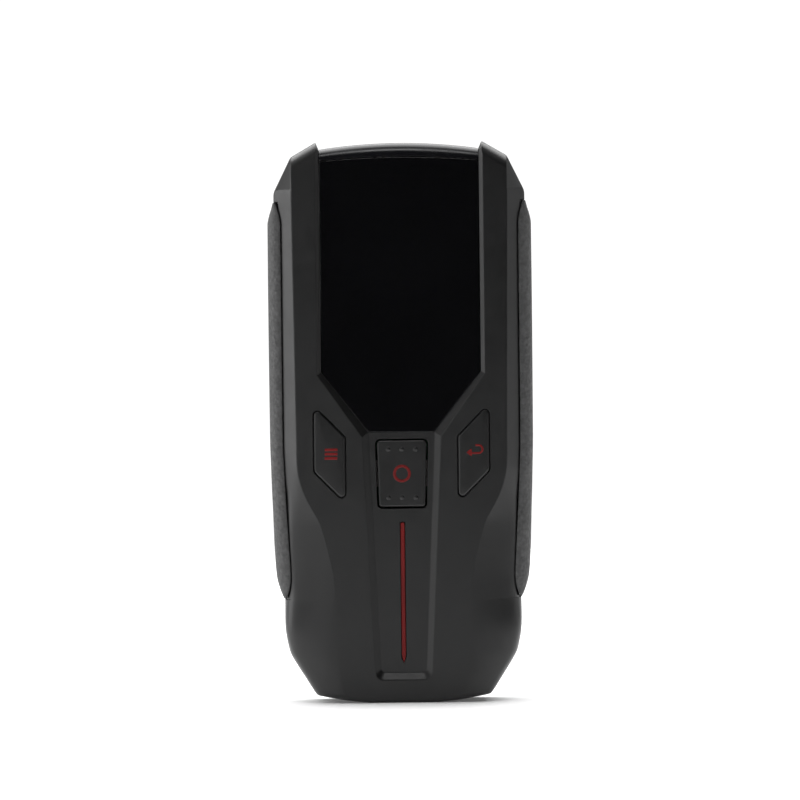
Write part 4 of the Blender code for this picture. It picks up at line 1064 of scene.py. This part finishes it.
class Look:
    """A node material with a Principled shader, textured in object space."""

    def __init__(self, name, roughness, metallic=0.0):
        self.name = name
        self.material = bpy.data.materials.new(name)
        self.material.use_nodes = True
        self.tree = self.material.node_tree
        self.set(Roughness=roughness, Metallic=metallic)
        self.place = self.node("ShaderNodeTexCoord").outputs["Object"]
        self.normal = None

    def node(self, kind, inputs=None, **settings):
        return add_node(self.tree, kind, inputs, **settings)

    def set(self, **values):
        inputs = {key.replace("_", " "): value for key, value in values.items()}
        feed(self.tree, self.tree.nodes["Principled BSDF"], inputs)
        return self

    def noise(self, scale, detail=3.0, roughness=0.55, stretch=None):
        place = self.place
        if stretch:
            place = self.node("ShaderNodeMapping", {"Vector": place, "Scale": stretch}).outputs["Vector"]
        settings = {"Vector": place, "Scale": scale, "Detail": detail, "Roughness": roughness}
        return self.node("ShaderNodeTexNoise", settings).outputs["Fac"]

    def cells(self, scale, randomness=1.0):
        settings = {"Vector": self.place, "Scale": scale, "Randomness": randomness}
        return self.node("ShaderNodeTexVoronoi", settings).outputs["Distance"]

    def remap(self, value, start, end):
        """A value that runs from 0 to 1, moved to run from start to end."""
        settings = {"Value": value, "From Min": 0.3, "From Max": 0.7, "To Min": start, "To Max": end}
        return self.node("ShaderNodeMapRange", settings).outputs["Result"]

    def colour(self, base, darker, lighter, share):
        """The colour wanders between two multiples of its base."""
        ends = {"A": (*(c * darker for c in base), 1), "B": (*(c * lighter for c in base), 1)}
        mix = self.node("ShaderNodeMix", {"Factor": share, **ends}, data_type="RGBA")
        return self.set(Base_Color=mix.outputs["Result"])

    def rough(self, value, start, end):
        return self.set(Roughness=self.remap(value, start, end))

    def eased(self, radius):
        """Small edges catch the light as if they were rounded."""
        self.normal = self.node("ShaderNodeBevel", {"Radius": radius * MM}, samples=4).outputs["Normal"]
        return self.set(Normal=self.normal)

    def bump(self, height, distance):
        """distance is the height of the relief in millimetres."""
        inputs = {"Height": height, "Distance": distance * MM, "Strength": 1.0}
        if self.normal:
            inputs["Normal"] = self.normal
        self.normal = self.node("ShaderNodeBump", inputs).outputs["Normal"]
        return self.set(Normal=self.normal)


def plastic(name, colour, roughness, grain=1800, height=0.012, spread=0.25, ease=0.12):
    """Moulded plastic: a fine spark-eroded grain, and colour and gloss that wander a little."""
    look = Look(name, roughness)
    cloud = look.noise(45, 4)
    grainy = look.noise(grain, 2)
    look.colour(colour, 1 - spread, 1 + spread, look.remap(cloud, 0, 1))
    look.rough(look.noise(220, 5, 0.7), roughness - 0.04, roughness + 0.05)
    if ease:
        look.eased(ease)
    return look.bump(grainy, height)


def rubber(name, colour):
    """Soft-touch rubber, stippled all over with small rounded pits."""
    look = Look(name, 0.62)
    pits = look.cells(1150)
    fine = look.noise(3200, 2)
    look.colour(colour, 0.7, 1.35, look.remap(look.noise(900, 3), 0, 1))
    look.rough(look.noise(500, 3), 0.5, 0.72)
    look.bump(pits, 0.14)
    return look.bump(fine, 0.02)


def gloss(name, colour, roughness, ease=0.08):
    """Polished plastic or glass, with a trace of haze and long moulding waves."""
    look = Look(name, roughness)
    look.colour(colour, 1, 1.5, look.remap(look.noise(30, 2), 0, 1))
    look.rough(look.noise(160, 6, 0.75), roughness * 0.7, roughness * 1.5)
    if ease:
        look.eased(ease)
    return look.bump(look.noise(25, 1), 0.002)


def metal(name, colour, roughness, stretch=(1, 1, 14)):
    """Plated metal with fine drawn lines."""
    look = Look(name, roughness, 1.0)
    lines = look.noise(700, 3, 0.6, stretch)
    look.colour(colour, 0.82, 1, look.remap(lines, 0, 1))
    look.rough(look.noise(260, 4), roughness - 0.08, roughness + 0.14)
    look.eased(0.06)
    return look.bump(lines, 0.004)


def board(name, colour):
    """Solder mask over copper tracks, which show as faint ridges."""
    look = Look(name, 0.4)
    brick = look.node("ShaderNodeTexBrick", {"Vector": look.place, "Scale": 260.0, "Mortar Size": 0.03})
    tracks = brick.outputs["Fac"]
    look.colour(colour, 1, 1.9, tracks)
    look.rough(look.noise(400, 3), 0.32, 0.5)
    return look.bump(tracks, 0.03)


def cloth(name, colour):
    """Woven speaker cloth: two crossing waves of threads."""
    look = Look(name, 0.9)
    waves = []
    for axis in ("X", "Z"):
        wave = look.node("ShaderNodeTexWave", {"Vector": look.place, "Scale": 900.0}, bands_direction=axis)
        waves.append(wave.outputs["Fac"])
    weave = look.node("ShaderNodeMath", {0: waves[0], 1: waves[1]}, operation="MULTIPLY").outputs["Value"]
    look.colour(colour, 0.5, 2, weave)
    return look.bump(weave, 0.08)


def foam(name, colour):
    look = Look(name, 0.92)
    pores = look.cells(1600)
    look.colour(colour, 0.6, 1.3, pores)
    return look.bump(pores, 0.12)


def film(name, colour, roughness):
    """Shrink film and polyimide: smooth, with soft wrinkles."""
    look = Look(name, roughness)
    wrinkles = look.noise(240, 3, 0.5, (1, 1, 0.3))
    look.colour(colour, 0.75, 1.15, look.remap(wrinkles, 0, 1))
    look.rough(look.noise(500, 3), roughness - 0.08, roughness + 0.12)
    return look.bump(wrinkles, 0.08)


def paper(name, colour):
    look = Look(name, 0.85)
    fibres = look.noise(1400, 5, 0.7, (1, 3, 1))
    look.colour(colour, 0.6, 1.5, look.remap(fibres, 0, 1))
    return look.bump(fibres, 0.05)


def make_materials():
    looks = [
        plastic("light_red", (0.15, 0.004, 0.004), 0.45, 1200, 0.004, 0.2, 0).set(
            Subsurface_Weight=0.1, Subsurface_Scale=0.002, Subsurface_Radius=(1.0, 0.1, 0.08),
            Specular_IOR_Level=0.25),
        gloss("lens_clear", (0.85, 0.87, 0.93), 0.04).set(Transmission_Weight=0.95, IOR=1.49),
        gloss("lcd_glass", (0.012, 0.012, 0.02), 0.08).set(Coat_Weight=0.5, Coat_Roughness=0.03),
        gloss("top_tint", (0.0045, 0.0045, 0.0055), 0.2).set(Specular_IOR_Level=0.28),
        plastic("shell_plastic", (0.0042, 0.0042, 0.0044), 0.38),
        rubber("grip_rubber", (0.05, 0.05, 0.0505)),
        plastic("key_plastic", (0.004, 0.004, 0.0042), 0.36, 1500, 0.008, 0.2, 0.1),
        gloss("display_gloss", (0.0022, 0.0022, 0.0026), 0.05),
        plastic("nylon", (0.3, 0.3, 0.29), 0.5, 900, 0.01, 0.08),
        plastic("switch_black", (0.03, 0.03, 0.032), 0.5, 1300, 0.01),
        metal("steel", (0.5, 0.5, 0.51), 0.3),
        metal("tin_shield", (0.62, 0.63, 0.64), 0.34, (1, 1, 4)),
        board("board_green", (0.006, 0.06, 0.028)),
        plastic("white_plastic", (0.7, 0.7, 0.69), 0.48, 1000, 0.008, 0.05),
        film("flex_amber", (0.35, 0.16, 0.03), 0.36),
        paper("cone_paper", (0.03, 0.03, 0.03)),
        plastic("ferrite", (0.045, 0.045, 0.05), 0.55, 1600, 0.03, 0.35),
        cloth("speaker_cloth", (0.012, 0.012, 0.012)),
        foam("foam", (0.02, 0.02, 0.02)),
        film("battery_wrap", (0.03, 0.08, 0.22), 0.38),
    ]
    return {look.name: look.material for look in looks}


def dress_cad_nodes():
    """Give every CAD node that stays the material of its slot, and ease the edges of the hard ones."""
    hard = ("tin_shield", "steel", "white_plastic", "board_green", "nylon", "switch_black", "ferrite")
    slots = {part["node"]: part["material_slot"] for part in frame["record"]["subparts"]}
    for name, node in NODES.items():
        node.data.materials.clear()
        node.data.materials.append(MATERIALS[slots[name]])
        if slots[name] in hard:
            bevel(node, 0.08, 2, 40)


# Camera, floor and lights

def make_camera():
    """A long lens, straight on to the face. The object leans by a fraction of a degree in its view."""
    camera = bpy.data.cameras.new("camera")
    camera.sensor_width = 36.0
    camera.lens = camera.sensor_width * CAMERA_DISTANCE / FIELD
    camera.clip_start = 0.05
    holder = bpy.data.objects.new("camera", camera)
    bpy.context.scene.collection.objects.link(holder)
    holder.location = at(-0.3, 80.05, -CAMERA_DISTANCE)
    holder.rotation_euler = (math.radians(90), math.radians(0.64), 0)
    bpy.context.scene.camera = holder


def softbox(name, place, aim, size, radiance):
    """A rectangular light. radiance is how bright its face looks, so that it means the same at any size."""
    light = bpy.data.lights.new(name, "AREA")
    light.shape = "RECTANGLE"
    light.size, light.size_y = size
    light.energy = 4 * radiance * size[0] * size[1]
    lamp = bpy.data.objects.new(name, light)
    bpy.context.scene.collection.objects.link(lamp)
    lamp.location = place
    lamp.rotation_euler = (Vector(aim) - Vector(place)).to_track_quat("-Z", "Y").to_euler()
    lamp.visible_camera = False


def make_world():
    """White behind the object in the picture; what lights it is dark in front and brighter behind."""
    world = bpy.data.worlds.new("studio")
    bpy.context.scene.world = world
    world.use_nodes = True
    tree = world.node_tree
    place = add_node(tree, "ShaderNodeTexCoord").outputs["Generated"]
    sides = add_node(tree, "ShaderNodeSeparateXYZ", {"Vector": place}).outputs
    glow = add_node(tree, "ShaderNodeMapRange", {
        "Value": sides["Y"], "From Min": -0.1, "From Max": 0.8, "To Min": WORLD_FRONT, "To Max": WORLD_BACK})
    seen = add_node(tree, "ShaderNodeLightPath").outputs["Is Camera Ray"]
    mix = add_node(tree, "ShaderNodeMix", {"Factor": seen, "A": glow.outputs["Result"], "B": 1.1})
    feed(tree, tree.nodes["Background"], {"Strength": mix.outputs["Result"], "Color": (1, 1, 1, 1)})


def make_studio():
    make_world()
    bm = bmesh.new()
    bmesh.ops.create_grid(bm, x_segments=16, y_segments=16, size=FLOOR_HALF * MM)
    floor = add_object("floor", bm)
    floor.location.y = (FLOOR_HALF + FLOOR_FRONT) * MM
    pale = Look("floor", 0.8)
    pale.colour((1, 1, 1), 0.88, 0.92, pale.remap(pale.noise(3, 2), 0, 1))
    pale.set(Specular_IOR_Level=0.1, Emission_Color=(1, 1, 1, 1), Emission_Strength=0.08)
    floor.data.materials.append(pale.material)
    middle = (0, 0, 0.08)
    softbox("left box", (-1.2, 0.0, 0.35), middle, (0.8, 1.0), 2.6)
    softbox("left front box", (-0.85, -0.85, 0.3), middle, (0.5, 0.9), 0.45)
    softbox("key light", (-0.19, -0.48, 0.17), middle, (0.08, 0.16), 4.5)
    softbox("foot light", (0.0, -0.27, 0.55), (0, 0, 0.02), (0.16, 0.12), 5.0)
    softbox("right box", (1.2, 0.0, 0.3), middle, (0.6, 0.9), 0.6)
    softbox("top box", (-0.15, 0.0, 1.3), middle, (1.8, 1.2), 0.7)
    softbox("floor box", (0, 0.9, 1.5), (0, 0.6, 0), (2.6, 1.8), 3.2)
    bpy.context.scene.view_settings.view_transform = "Standard"


make_camera()
make_studio()
MATERIALS = make_materials()
make_front_cover()
make_rear_cover()
make_grip("grip_right", 1, "right_grip")
make_grip("grip_left", -1, "left_grip")
make_display_window()
make_top_window()
make_light_line()
make_side_key("back_cap", 1, "back_key", "back_button")
make_side_key("menu_cap", -1, "menu_key", "menu_button")
make_rocker()
make_icons()
make_rear_pad()
make_port()
make_screws()
dress_cad_nodes()
